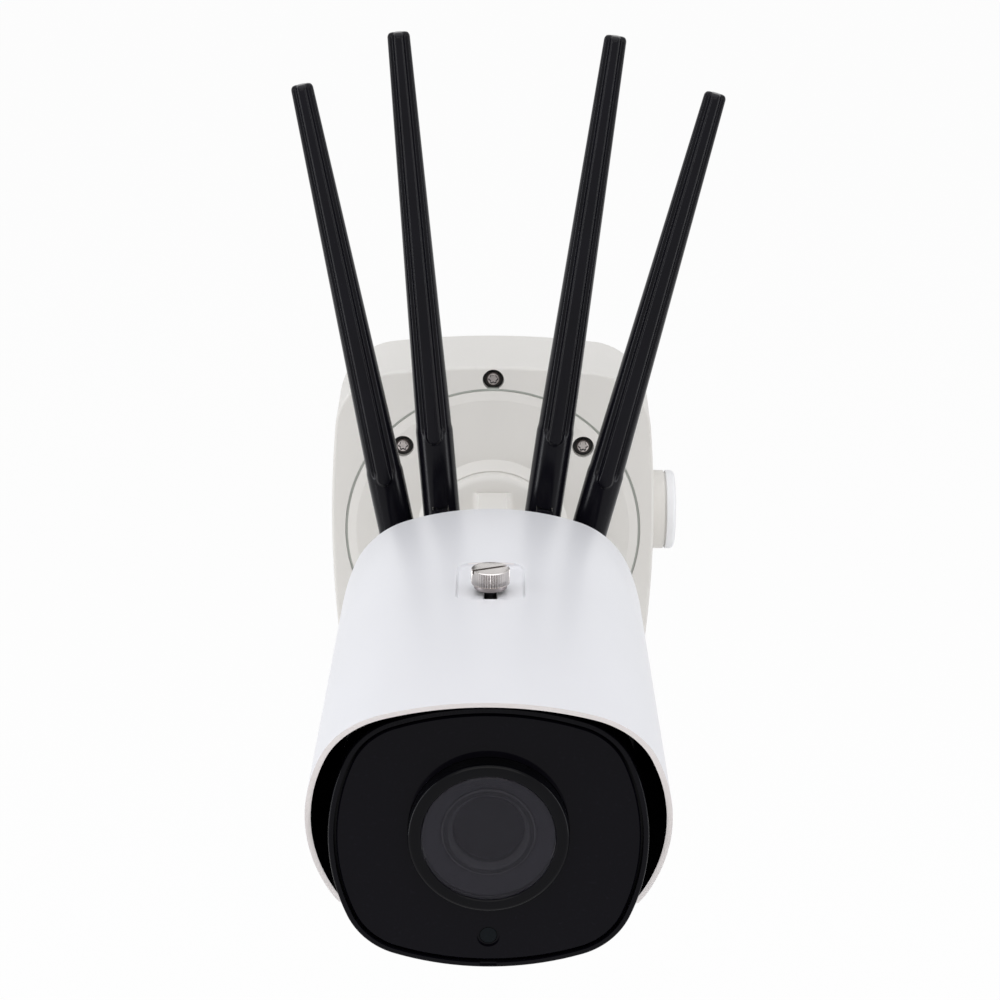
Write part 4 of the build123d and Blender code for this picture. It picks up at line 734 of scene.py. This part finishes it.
class BuildAntennas(bpy.types.Operator):
    """Makes the four whips: a round forked stem that becomes a fluted blade with a raised land"""

    bl_idname = "security_camera.antennas"
    bl_label = "Antennas"

    sides = 160
    rings = (24, 16, 36, 120, 10)
    land_lead = 0.001
    land_bow = 0.05
    tip_draw = 0.75

    def execute(self, context):
        for number in ANTENNAS:
            self.whip(f"antenna_{number}")
        return {"FINISHED"}

    def whip(self, name):
        """One whip, from its hinge and lean in the frame."""
        sizes = settings().antenna
        fold = next(joint for joint in frame["joints"] if joint["name"] == f"{name}_fold")
        lean = atan2(fold["axis"][2], -fold["axis"][0])
        place = Matrix.Translation(fold["pos_m"]) @ Matrix.Rotation(lean, 4, "Y")
        knee, tip = sizes.stem_length + sizes.blend, sizes.reach - sizes.tip_round
        land = sizes.land_foot - self.land_lead
        stations = (-sizes.fork_arch, 0.0, land, knee, tip, sizes.reach)
        heights = [
            low + (high - low) * step / steps
            for low, high, steps in zip(stations, stations[1:], self.rings)
            for step in range(steps)
        ]
        bm = bmesh.new()
        whole_turn(bm, [(1.0, 0.0, height) for height in (*heights, sizes.reach)], self.sides)
        bmesh.ops.remove_doubles(bm, verts=bm.verts[:], dist=MERGE)
        for vert in bm.verts:
            vert.co = self.skin(sizes, atan2(vert.co.y, vert.co.x), vert.co.z)
        ends = [edge for edge in bm.edges if edge.is_boundary]
        bmesh.ops.holes_fill(bm, edges=ends, sides=0)
        bmesh.ops.recalc_face_normals(bm, faces=bm.faces[:])
        bar = rough_solid(f"{name}_bar", bm)
        carve(bar, rough_solid(f"{name}_gap", self.gap(sizes)))
        bm = taken_up(bar)
        bmesh.ops.transform(bm, matrix=place, verts=bm.verts[:])
        body = node = f"{name}_whip"
        piece(f"{name}_blade", bm, ("antenna black",), body, "black_plastic", node, sharp=40.0)

    def skin(self, sizes, angle, height):
        """Where a point of the whip's skin lies, from its angle and height."""
        x, y = sizes.stem * cos(angle), sizes.stem * sin(angle)
        if height < 0.0:
            foot = sqrt(max(sizes.foot**2 - height**2, 0.0))
            return Vector((x, max(-foot, min(foot, y)), max(height, -sizes.foot)))
        above = height - sizes.stem_length
        ease = min(max(above / sizes.blend, 0.0), 1.0)
        ease = ease * ease * (3 - 2 * ease)
        share = (above - sizes.blend) / (sizes.reach - sizes.stem_length - sizes.blend)
        across = (sizes.blade_width + (sizes.tip_width - sizes.blade_width) * share) / 2
        deep = (sizes.blade_depth + (sizes.tip_depth - sizes.blade_depth) * share) / 2
        x += (across * cos(angle) - x) * ease
        y += (deep * sin(angle) - y) * ease
        facing = 1 if y > 0 else -1
        half = across * sizes.land_share
        edge = hypot(x, max(sizes.land_foot + half - height, 0.0)) - half
        land = 1 / (1 + exp(min(edge / sizes.land_edge, 50.0)))
        crown = (deep + sizes.land_rise) * (1 - self.land_bow * (x / half) ** 2)
        if crown > abs(y):
            y += (crown - abs(y)) * land * facing
        groove = exp(-(((edge - sizes.flute_width) / sizes.flute_width) ** 2))
        y -= sizes.flute * groove * ease * facing * sqrt(abs(sin(angle)))
        left = sizes.reach - height
        if left < sizes.tip_round:
            drawn = sizes.tip_round * (1 - sqrt(1 - (1 - left / sizes.tip_round) ** 2))
            x *= 1 - self.tip_draw * drawn / across
            y *= 1 - drawn / deep
        return Vector((x, y, height))

    def gap(self, sizes):
        """The space between the fork's cheeks: an arch above the hinge, open below."""
        arch, below = sizes.fork_arch, 0.01
        bm = bmesh.new()
        bmesh.ops.create_cone(
            bm, cap_ends=True, segments=64, radius1=arch, radius2=arch, depth=sizes.fork_gap,
            matrix=SIDE,
        )
        for vert in bm.verts:
            if vert.co.z < -1e-6:
                vert.co.z -= below
        return bm


class BuildThumbScrew(bpy.types.Operator):
    """Makes the knurled thumb screw with its driver slot"""

    bl_idname = "security_camera.thumb_screw"
    bl_label = "Thumb screw"

    collar, shank = 5.3, 2.0
    slot, slot_turn = (0.03, 0.0014, 0.0024), radians(24)

    def execute(self, context):
        sizes = settings().screws
        low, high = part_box("thumb_screw")
        middle = (low + high) / 2
        rise = high.z + sizes.thumb_lift
        top, foot = rise / MM, low.z / MM
        head, collar, shank = sizes.thumb_radius / MM, self.collar, self.shank
        under = top - sizes.thumb_height / MM
        seat = under - sizes.thumb_collar / MM
        profile = (
            (0.0, top), (head - 0.34, top), (head - 0.26, top - 0.03), (head - 0.05, top - 0.22),
            (head, top - 0.26), (head, under + 0.26), (head - 0.05, under + 0.22),
            (head - 0.3, under), (collar - 0.05, under), (collar, under - 0.15),
            (collar, seat + 0.2), (collar - 0.2, seat), (shank, seat), (shank, foot), (0.0, foot),
        )
        bm = bmesh.new()
        made = turned(bm, profile, UPRIGHT, steps=sizes.knurl_count * 6)
        skin = sizes.thumb_radius - 0.03 * MM
        knurled(made, sizes.knurl_count, skin, sizes.knurl_depth / sizes.thumb_radius)
        screw = rough_solid("screw_bar", bm)
        bm = bmesh.new()
        bmesh.ops.create_cube(bm, size=1.0)
        bmesh.ops.scale(bm, vec=self.slot, verts=bm.verts[:])
        across = Matrix.Translation((0, 0, rise)) @ Matrix.Rotation(self.slot_turn, 4, "Z")
        bmesh.ops.transform(bm, matrix=across, verts=bm.verts[:])
        carve(screw, rough_solid("screw_slot", bm))
        bm = taken_up(screw)
        # The head takes bright nickel, the collar under it a darker nickel as painted shade, and
        # the shank trim black
        for face in bm.faces:
            level = face.calc_center_median().z / MM
            face.material_index = 2 if level < seat + 0.05 else 1 if level < under - 0.05 else 0
        bmesh.ops.translate(bm, vec=(middle.x, middle.y, 0), verts=bm.verts[:])
        finishes = ("bright nickel", "collar nickel", "trim black")
        body = node = "thumb_screw"
        piece("knurled_screw", bm, finishes, body, "nickel", node, sharp=28.0)
        return {"FINISHED"}


class BuildScrews(bpy.types.Operator):
    """Makes the star-socket screws of the cover, the bracket base and the camera's rear"""

    bl_idname = "security_camera.screws"
    bl_label = "Star screws"

    # Places and sizes in millimetres; a head has a radius and a height
    cover_rise, cover_seat, cover_head = 64.0, 44.0, (3.0, 2.6)
    base_circle, base_seat, base_head = 51.5, 46.0, (2.9, 2.2)
    rear_spots = ((0, 35), (39.4, -4), (-39.4, -4), (24, -31), (-24, -31))
    rear_head = (2.75, 2.4)
    shank, shank_length = 2.0, 5.5
    rear_shank, rear_shank_length = 1.5, 19.98
    # Width and height of the black ring of painted shadow round a head
    washer_width, washer_height = 1.2, 0.4
    clear = 0.02

    # The head's round shoulder as shares of its radius and height, and the star
    shoulder = ((0.76, 1.0), (0.87, 0.96), (0.95, 0.88), (0.99, 0.78), (1.0, 0.66), (1.0, 0.0))
    lobe, taper = 0.17, 0.82

    # Finishes: the head's face; the socket's floor, brighter as a painted highlight; the socket's
    # walls and the ring round the head, black as painted shade; the shoulder, dark as the
    # counterbore's painted shadow
    finishes = ("dark nickel", "socket nickel", "washer rubber", "screw shoulder")
    face, socket, dark, dull = range(4)

    def execute(self, context):
        rise, out = self.cover_rise, self.base_circle * sqrt(0.5)
        base_spots = ((out, out), (-out, out), (-out, -out), (out, -out))
        for name, spots, seat, head in (
            ("cover_screw", ((0, rise), (0, -rise)), self.cover_seat, self.cover_head),
            ("flange_screw", base_spots, self.base_seat, self.base_head),
        ):
            bm = bmesh.new()
            for x, z in spots:
                place = in_front(x * MM, z * MM, seat * MM)
                self.star_head(bm, place, head, 1.0)
                self.shaft(bm, place, self.shank, self.shank_length, steps=32)
                # The black ring round the head is painted shadow in the counterbore
                self.washer(bm, place, head[0])
            piece(f"{name}_heads", bm, self.finishes, "mount", "steel", f"{name}s")
        bm = bmesh.new()
        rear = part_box("rear_screws")[1].y - self.rear_head[1] * MM
        for x, z in self.rear_spots:
            place = Matrix.Translation((x * MM, rear, z * MM)) @ BACK
            self.star_head(bm, place, self.rear_head, 0.9)
            self.shaft(bm, place, self.rear_shank, self.rear_shank_length, steps=24)
        piece("rear_screw_heads", bm, self.finishes, "camera", "steel", "rear_screws")
        return {"FINISHED"}

    def shaft(self, bm, place, radius, reach, steps):
        """The screw's plain shank under its head."""
        top, foot = -self.clear, -self.clear - reach
        turned(bm, ((0.0, top), (radius, top), (radius, foot), (0.0, foot)), place, steps)

    def washer(self, bm, place, inner):
        """A black ring round the head at the counterbore's foot: painted shadow of the
        counterbore.
        """
        outer = inner + self.washer_width
        low, high = self.clear, self.clear + self.washer_height
        profile = ((inner, low), (outer, low), (outer, high), (inner, high), (inner, low))
        for face in faces_at(turned(bm, profile, place, steps=48)):
            face.material_index = self.dark

    def star_head(self, bm, place, head, scale):
        """A low round head with a star socket, its under face at height zero."""
        sizes = settings().screws
        radius, height = head[0] * MM, head[1] * MM
        older = set(bm.verts)
        star = bmesh.ops.create_circle(bm, segments=72, radius=sizes.star * scale)["verts"]
        for vert in star:
            vert.co *= 1.0 + self.lobe * cos(6 * atan2(vert.co.y, vert.co.x))
            vert.co.z = height
        rim = within(set(star), bm.edges)
        walls = bmesh.ops.extrude_edge_only(bm, edges=rim)["geom"]
        floor = set(of_kind(BMVert, walls))
        sunk = height - sizes.star_depth
        for vert in floor:
            vert.co = (vert.co.x * self.taper, vert.co.y * self.taper, sunk)
        bmesh.ops.edgeloop_fill(bm, edges=within(floor, walls))
        for share, rise in self.shoulder:
            grown = bmesh.ops.extrude_edge_only(bm, edges=rim)["geom"]
            ring = set(of_kind(BMVert, grown))
            for vert in ring:
                angle, out = atan2(vert.co.y, vert.co.x), radius * share
                vert.co = (out * cos(angle), out * sin(angle), height * rise)
            rim = within(ring, grown)
        made = newer(bm, older)
        faces = faces_at(made)
        flat = radius * (self.shoulder[0][0] - 0.01)
        # The shoulder takes the counterbore's painted shadow, the socket's walls painted shade,
        # and the socket's floor a painted highlight
        for face in faces:
            deep = len(floor.intersection(face.verts))
            if min(hypot(vert.co.x, vert.co.y) for vert in face.verts) > flat:
                face.material_index = self.dull
            elif deep:
                face.material_index = self.socket if deep == len(face.verts) else self.dark
            else:
                face.material_index = self.face
        bmesh.ops.recalc_face_normals(bm, faces=faces)
        bmesh.ops.transform(bm, matrix=place, verts=made)


class BuildLens(bpy.types.Operator):
    """Makes the ring, the window, the barrel and the lenses behind it"""

    bl_idname = "security_camera.lens"
    bl_label = "Lens"

    # Sizes in millimetres. The barrel and its lens are drawn forward of their solids.
    forward = 1.2
    ring_flange, flange_sink, ring_lip = 26.5, 3.5, 0.4
    pane = 2.0
    barrel_flange, flange_height = 18.0, 3.0
    bore, mouth, ridges = 8.4, 12.0, 7
    dome, dome_rise = 10.6, 2.4

    def execute(self, context):
        sizes = settings().lens
        axis = in_front(0.0, sizes.rise, 0.0)
        face = FACE_REACH / MM
        front = face + sizes.ring_proud / MM
        glass = sizes.glass / MM
        self.ring(axis, face, front, sizes.ring / MM, glass)
        self.window(axis, front, glass)
        self.barrel(axis, sizes.barrel / MM, sizes.rise)
        self.lens(axis)
        self.baffle(axis, front, sizes.barrel / MM, glass)
        return {"FINISHED"}

    def ring(self, axis, face, front, ring, glass):
        """The ring round the window, with the flange that holds it behind the panel."""
        back = reaches("lens_ring")[0]
        inner, flange = glass - self.ring_lip, self.ring_flange
        seat, floor = face - self.flange_sink, front - self.pane
        profile = (
            (inner, back), (flange, back), (flange, seat), (ring, seat), (ring, front - 1.3),
            (ring - 0.12, front - 0.75), (ring - 0.45, front - 0.3), (ring - 1.1, front - 0.02),
            (ring - 1.4, front), (glass + 0.5, front), (glass + 0.25, front - 0.08),
            (glass + 0.02, front - 0.35), (glass + 0.02, floor), (inner, floor), (inner, back),
        )
        rest = ("camera", "black_plastic", "lens_ring")
        turned_piece("window_ring", profile, axis, 128, "ring black", *rest)

    def window(self, axis, front, glass):
        """The tinted pane in the ring."""
        back = front - self.pane
        profile = (
            (0.0, back), (glass - 0.3, back), (glass, front - 1.7), (glass, front - 0.45),
            (glass - 0.4, front - 0.05), (glass - 0.5, front - 0.02), (0.0, front - 0.02),
        )
        rest = ("camera", "clear_glass", "window_glass")
        turned_piece("window_pane", profile, axis, 128, "window glass", *rest)

    def barrel(self, axis, outer, rise):
        """The stepped barrel with its ridged mouth."""
        back, tip = reaches("lens_barrel")
        tip += self.forward
        step, flange = back + self.flange_height, self.barrel_flange
        bore, throat, floor = self.bore, self.dome + 0.05, tip - 6.5
        ridges = [
            (self.mouth - 0.2 - 0.16 * ridge, tip - 0.3 - 0.3 * ridge + 0.14 * (ridge % 2))
            for ridge in range(self.ridges)
        ]
        profile = (
            (bore, back), (flange, back), (flange, step), (outer, step), (outer, tip - 0.5),
            (outer - 0.15, tip - 0.15), (outer - 0.5, tip), (self.mouth, tip), *ridges,
            (throat, tip - 2.4), (throat, floor), (bore, floor), (bore, back),
        )
        bm = bmesh.new()
        turned(bm, profile, axis, steps=112)
        # The outer chamfer and the ridged mouth near the tip take a paler grey: painted highlights
        for face in bm.faces:
            middle = face.calc_center_median()
            around = hypot(middle.x, middle.z - rise) / MM
            highlit_rim = around > outer - 0.45 or self.dome < around < self.mouth - 0.1
            if highlit_rim and -middle.y / MM > tip - 2.5:
                face.material_index = 1
        finishes = ("barrel grey", "barrel rim")
        piece("barrel_front", bm, finishes, "camera", "lens_black", "lens_barrel", sharp=30.0)

    def lens(self, axis):
        """The crowned front lens."""
        back, tip = reaches("front_element")
        tip += self.forward
        dome, rise, edge = self.dome, self.dome_rise, tip - self.dome_rise
        turns = [radians(degrees) for degrees in range(0, 86, 9)]
        crown = [(dome * cos(turn), edge + rise * sin(turn)) for turn in turns]
        profile = ((0.0, back), (dome, back), *crown, (0.0, tip))
        rest = ("camera", "clear_glass", "front_element")
        turned_piece("front_lens", profile, axis, 96, "coated lens", *rest, sharp=40.0)

    def baffle(self, axis, front, barrel, glass):
        """The dark plate round the barrel that hides the boards from the window."""
        inner, outer, thick = barrel + 0.1, glass - 0.45, 0.5
        low, high = reaches("lens_barrel")[1] + self.forward - 1.4, front - 3.0
        top = ((outer, high + thick), (inner, low + thick))
        profile = ((inner, low), (outer, high), *top, (inner, low))
        turned_piece("lens_baffle", profile, axis, 96, "baffle grey", "camera", "lens_black")


class BuildBox(bpy.types.Operator):
    """Finishes the junction box, its plug and the bracket"""

    bl_idname = "security_camera.box"
    bl_label = "Junction box and bracket"

    # Sizes in millimetres
    cap_height = 4.0
    spigot, spigot_length = 12.98, 8.0
    lip_width, lip_clear, lip_sink = 0.9, 0.1, 0.5

    def execute(self, context):
        dress("box paint", "box_body", "box_cover", "base_flange", "pan_turntable", "tilt_arm")
        # The gaskets take the grey-green seal rubber made pale, painted light over the shade in
        # the grooves
        dress("seal rubber", "cover_gasket", "flange_gasket")
        self.seal_lip()
        # The plug's ring is made pale: painted light over the shade in the groove round the cap
        dress("plug rubber", "plug_ring")
        dress("dark nickel", "tilt_bolt", "tilt_nut", "pan_retainer")
        dress("washer nylon", "tilt_washers")
        self.plug()
        return {"FINISHED"}

    def plug(self):
        """The round cap in the box's side, with its spigot."""
        low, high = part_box("conduit_plug")
        middle = (low + high) / 2
        tip, cap = high.x / MM, (high.z - low.z) / 2 / MM
        under, spigot = tip - self.cap_height, self.spigot
        foot = under - self.spigot_length
        profile = (
            (0.0, tip), (cap - 2.6, tip), (cap - 1.5, tip - 0.12), (cap - 0.7, tip - 0.5),
            (cap - 0.2, tip - 1.1), (cap, tip - 1.8), (cap, under + 0.3), (cap - 0.25, under),
            (spigot, under), (spigot, foot), (0.0, foot),
        )
        place = Matrix.Translation((0.0, middle.y, middle.z)) @ SIDE
        rest = ("mount", "box_paint", "conduit_plug")
        # The cap takes the box paint made paler and cooler: painted light from the right-hand lamp
        turned_piece("plug_cap", profile, place, 112, "plug white", *rest, sharp=35.0)

    def seal_lip(self):
        """The lip of the base's seal, which fills the foot of the groove round the base."""
        low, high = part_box("flange_gasket")
        edge = (high.x - low.x) / 2 / MM
        inner, outer = edge + self.lip_clear, edge + self.lip_width
        back, front = -high.y / MM, reaches("box_cover")[1] - self.lip_sink
        profile = ((inner, back), (outer, back), (outer, front), (inner, front), (inner, back))
        # The lip takes the same pale seal rubber: painted light over the shade at the groove's
        # foot
        turned_piece("seal_lip", profile, FRONT, 160, "seal rubber", "mount", "rubber")


class BuildBody(bpy.types.Operator):
    """Finishes the camera body, its front and what is inside it"""

    bl_idname = "security_camera.body"
    bl_label = "Camera body"

    # The coupling nuts in millimetres, and their knurl
    bore, neck, grip = 3.15, 4.95, 5.4
    knurl_count, knurl_depth = 36, 0.05

    def execute(self, context):
        dress("body white", "housing", "rear_cover", "roll_collar", "service_cover")
        dress("bezel black", "front_bezel")
        dress("trim black", "filter_frame", "zoom_group")
        dress("front panel gloss", "front_panel")
        dress("body rubber", "rear_gasket", "bezel_gasket")
        dress("shield lining", "shield_pads")
        dress("dark nickel", "roll_lock_screw")
        for number in ANTENNAS:
            dress("dark nickel", f"antenna_{number}_pin")
            dress("antenna black", f"antenna_{number}_base")
        dress("connector brass", "antenna_jacks", "jack_nuts")
        dress("chassis sheet", "chassis", "modem_module")
        dress("board mask", "main_board", "sensor_board", "lamp_board")
        dress("chip black", "image_sensor", "infrared_lamps")
        dress("filter glass", "infrared_filter")
        dress("sensor window", "light_sensor")
        self.couplings()
        return {"FINISHED"}

    def couplings(self):
        """The knurled coupling nuts behind the antennas."""
        start, stop = reaches("coupling_nuts")
        bore, neck, grip = self.bore, self.neck, self.grip
        profile = (
            (bore, start), (4.9, start), (grip - 0.1, start + 0.3), (grip, start + 0.5),
            (grip, start + 5.2), (grip - 0.1, start + 5.4), (neck, start + 5.8),
            (neck, stop - 0.3), (neck - 0.25, stop), (bore, stop), (bore, start),
        )
        bm = bmesh.new()
        for joint in frame["joints"]:
            if joint["name"].endswith("_swivel"):
                x, _, z = joint["pos_m"]
                made = turned(bm, profile, UPRIGHT, steps=144)
                knurled(made, self.knurl_count, (grip - 0.02) * MM, self.knurl_depth)
                bmesh.ops.transform(bm, matrix=in_front(x, z, 0.0), verts=made)
        rest = ("camera", "connector_brass", "coupling_nuts")
        piece("coupling_knurls", bm, ("coupling black nickel",), *rest, sharp=28.0)


# The stage

COOL = (0.94, 0.96, 1.0)
WARM = (1.0, 0.955, 0.91)
WHITE = (1.0, 1.0, 1.0, 1.0)


def background_rays(tree):
    """One for the rays that show the background: from the view, off metal and through glass."""
    rays = tree.nodes.new("ShaderNodeLightPath")
    seen = rays.outputs["Is Camera Ray"]
    for kind in ("Is Glossy Ray", "Is Transmission Ray"):
        either = added(tree, "Math", 0, seen, {})
        either.operation = "MAXIMUM"
        tree.links.new(rays.outputs[kind], either.inputs[1])
        seen = either.outputs["Value"]
    return seen


def mixed(tree, share, first, second, output):
    """Shows one shader, or by a share the other."""
    mix = added(tree, "MixShader", "Fac", share, {})
    tree.links.new(first, mix.inputs[1])
    tree.links.new(second, mix.inputs[2])
    tree.links.new(mix.outputs["Shader"], tree.nodes[output].inputs["Surface"])


class BuildStage(bpy.types.Operator):
    """Sets the pale floor, the soft lights and the camera"""

    bl_idname = "security_camera.stage"
    bl_label = "Stage"

    floor_reach, floor_glow = 14.0, 0.96
    right_share = 0.75

    def execute(self, context):
        sizes = settings().stage
        bpy.context.scene.view_settings.view_transform = "Standard"
        self.floor(sizes)
        self.sky(sizes)
        strip, aim = (0.2, 1.0), (0.0, -0.13, 0.12)
        dim = sizes.strip * self.right_share
        self.lamp("overhead", (0.0, -0.35, 1.5), (0.0, -0.2, 0.0), (1.8, 1.8), sizes.key, COOL)
        self.lamp("front", (0.0, -1.9, 0.95), (0.0, -0.1, 0.0), (1.6, 0.9), sizes.front, WARM)
        self.lamp("left strip", (-0.95, -0.42, 0.12), aim, strip, sizes.strip, COOL)
        self.lamp("right strip", (0.95, -0.42, 0.12), aim, strip, dim, COOL)
        self.view(sizes)
        return {"FINISHED"}

    def lamp(self, name, place, aim, size, watts, tint):
        """A soft light at a place, turned to what it lights."""
        light = bpy.data.lights.new(name, "AREA")
        light.shape = "RECTANGLE"
        light.energy = watts
        light.color = tint
        light.size, light.size_y = size
        lamp = shown(name, light)
        lamp.location = place
        lamp.rotation_euler = (Vector(aim) - Vector(place)).to_track_quat("-Z", "Y").to_euler()

    def view(self, sizes):
        """The camera at the photograph's place."""
        view = bpy.data.cameras.new("view")
        view.sensor_width = 36.0
        view.lens = sizes.lens
        view.clip_start = 0.01
        camera = shown("view", view)
        camera.matrix_world = (
            Matrix.Translation(sizes.place)
            @ Matrix.Rotation(pi / 2 - sizes.tilt, 4, "X")
            @ Matrix.Rotation(sizes.roll, 4, "Z")
        )
        bpy.context.scene.camera = camera

    def floor(self, sizes):
        """The pale floor, which keeps a trace of the object's shadow."""
        bm = bmesh.new()
        bmesh.ops.create_grid(bm, x_segments=4, y_segments=4, size=self.floor_reach)
        bmesh.ops.translate(bm, vec=(0, 0, -sizes.floor_drop), verts=bm.verts[:])
        finish = bpy.data.materials.new("floor white")
        finish.use_nodes = True
        tree = finish.node_tree
        shader = tree.nodes["Principled BSDF"]
        shader.inputs["Base Color"].default_value = (0.9, 0.9, 0.9, 1.0)
        shader.inputs["Roughness"].default_value = 0.9
        glow = tree.nodes.new("ShaderNodeEmission")
        glow.inputs["Strength"].default_value = 1.0
        share = added(tree, "Math", 0, background_rays(tree), {1: self.floor_glow})
        share.operation = "MULTIPLY"
        lit, seen = shader.outputs["BSDF"], glow.outputs["Emission"]
        mixed(tree, share.outputs["Value"], lit, seen, "Material Output")
        mesh = mesh_of("floor", bm)
        mesh.materials.append(finish)
        shown("floor", mesh)

    def sky(self, sizes):
        """Soft light from all round, and a white background."""
        world = bpy.data.worlds.new("studio")
        bpy.context.scene.world = world
        world.use_nodes = True
        tree = world.node_tree
        soft = tree.nodes["Background"]
        white = tree.nodes.new("ShaderNodeBackground")
        for node, strength in ((soft, sizes.sky), (white, 1.0)):
            node.inputs["Color"].default_value = WHITE
            node.inputs["Strength"].default_value = strength
        lit, seen = soft.outputs["Background"], white.outputs["Background"]
        mixed(tree, background_rays(tree), lit, seen, "World Output")


class CameraPanel(bpy.types.Panel):
    """Lists the steps and the sizes"""

    bl_idname = "VIEW3D_PT_security_camera"
    bl_label = "Security camera"
    bl_space_type = "VIEW_3D"
    bl_region_type = "UI"
    bl_category = "Security camera"

    def draw(self, context):
        for step in STEPS:
            self.layout.operator(step.bl_idname)
        for group in ("hood", "antenna", "screws", "lens", "paints", "stage"):
            box = self.layout.box()
            sizes = getattr(context.scene.security_camera, group)
            for name in sizes.__annotations__:
                box.prop(sizes, name)


GROUPS = (HoodSizes, AntennaSizes, ScrewSizes, LensSizes, Paints, StageSizes, CameraSettings)
STEPS = (
    BuildStage, BuildBox, BuildBody, BuildScrews, BuildLens, BuildThumbScrew, BuildSunShield,
    BuildAntennas,
)
CLASSES = (*GROUPS, *STEPS, CameraPanel)


def register():
    for kind in CLASSES:
        bpy.utils.register_class(kind)
    bpy.types.Scene.security_camera = PointerProperty(type=CameraSettings)


def unregister():
    del bpy.types.Scene.security_camera
    for kind in reversed(CLASSES):
        bpy.utils.unregister_class(kind)


def main():
    register()
    bpy.ops.security_camera.stage()
    bpy.ops.security_camera.box()
    bpy.ops.security_camera.body()
    bpy.ops.security_camera.screws()
    bpy.ops.security_camera.lens()
    bpy.ops.security_camera.thumb_screw()
    bpy.ops.security_camera.sun_shield()
    bpy.ops.security_camera.antennas()


if __name__ == "__main__":
    main()
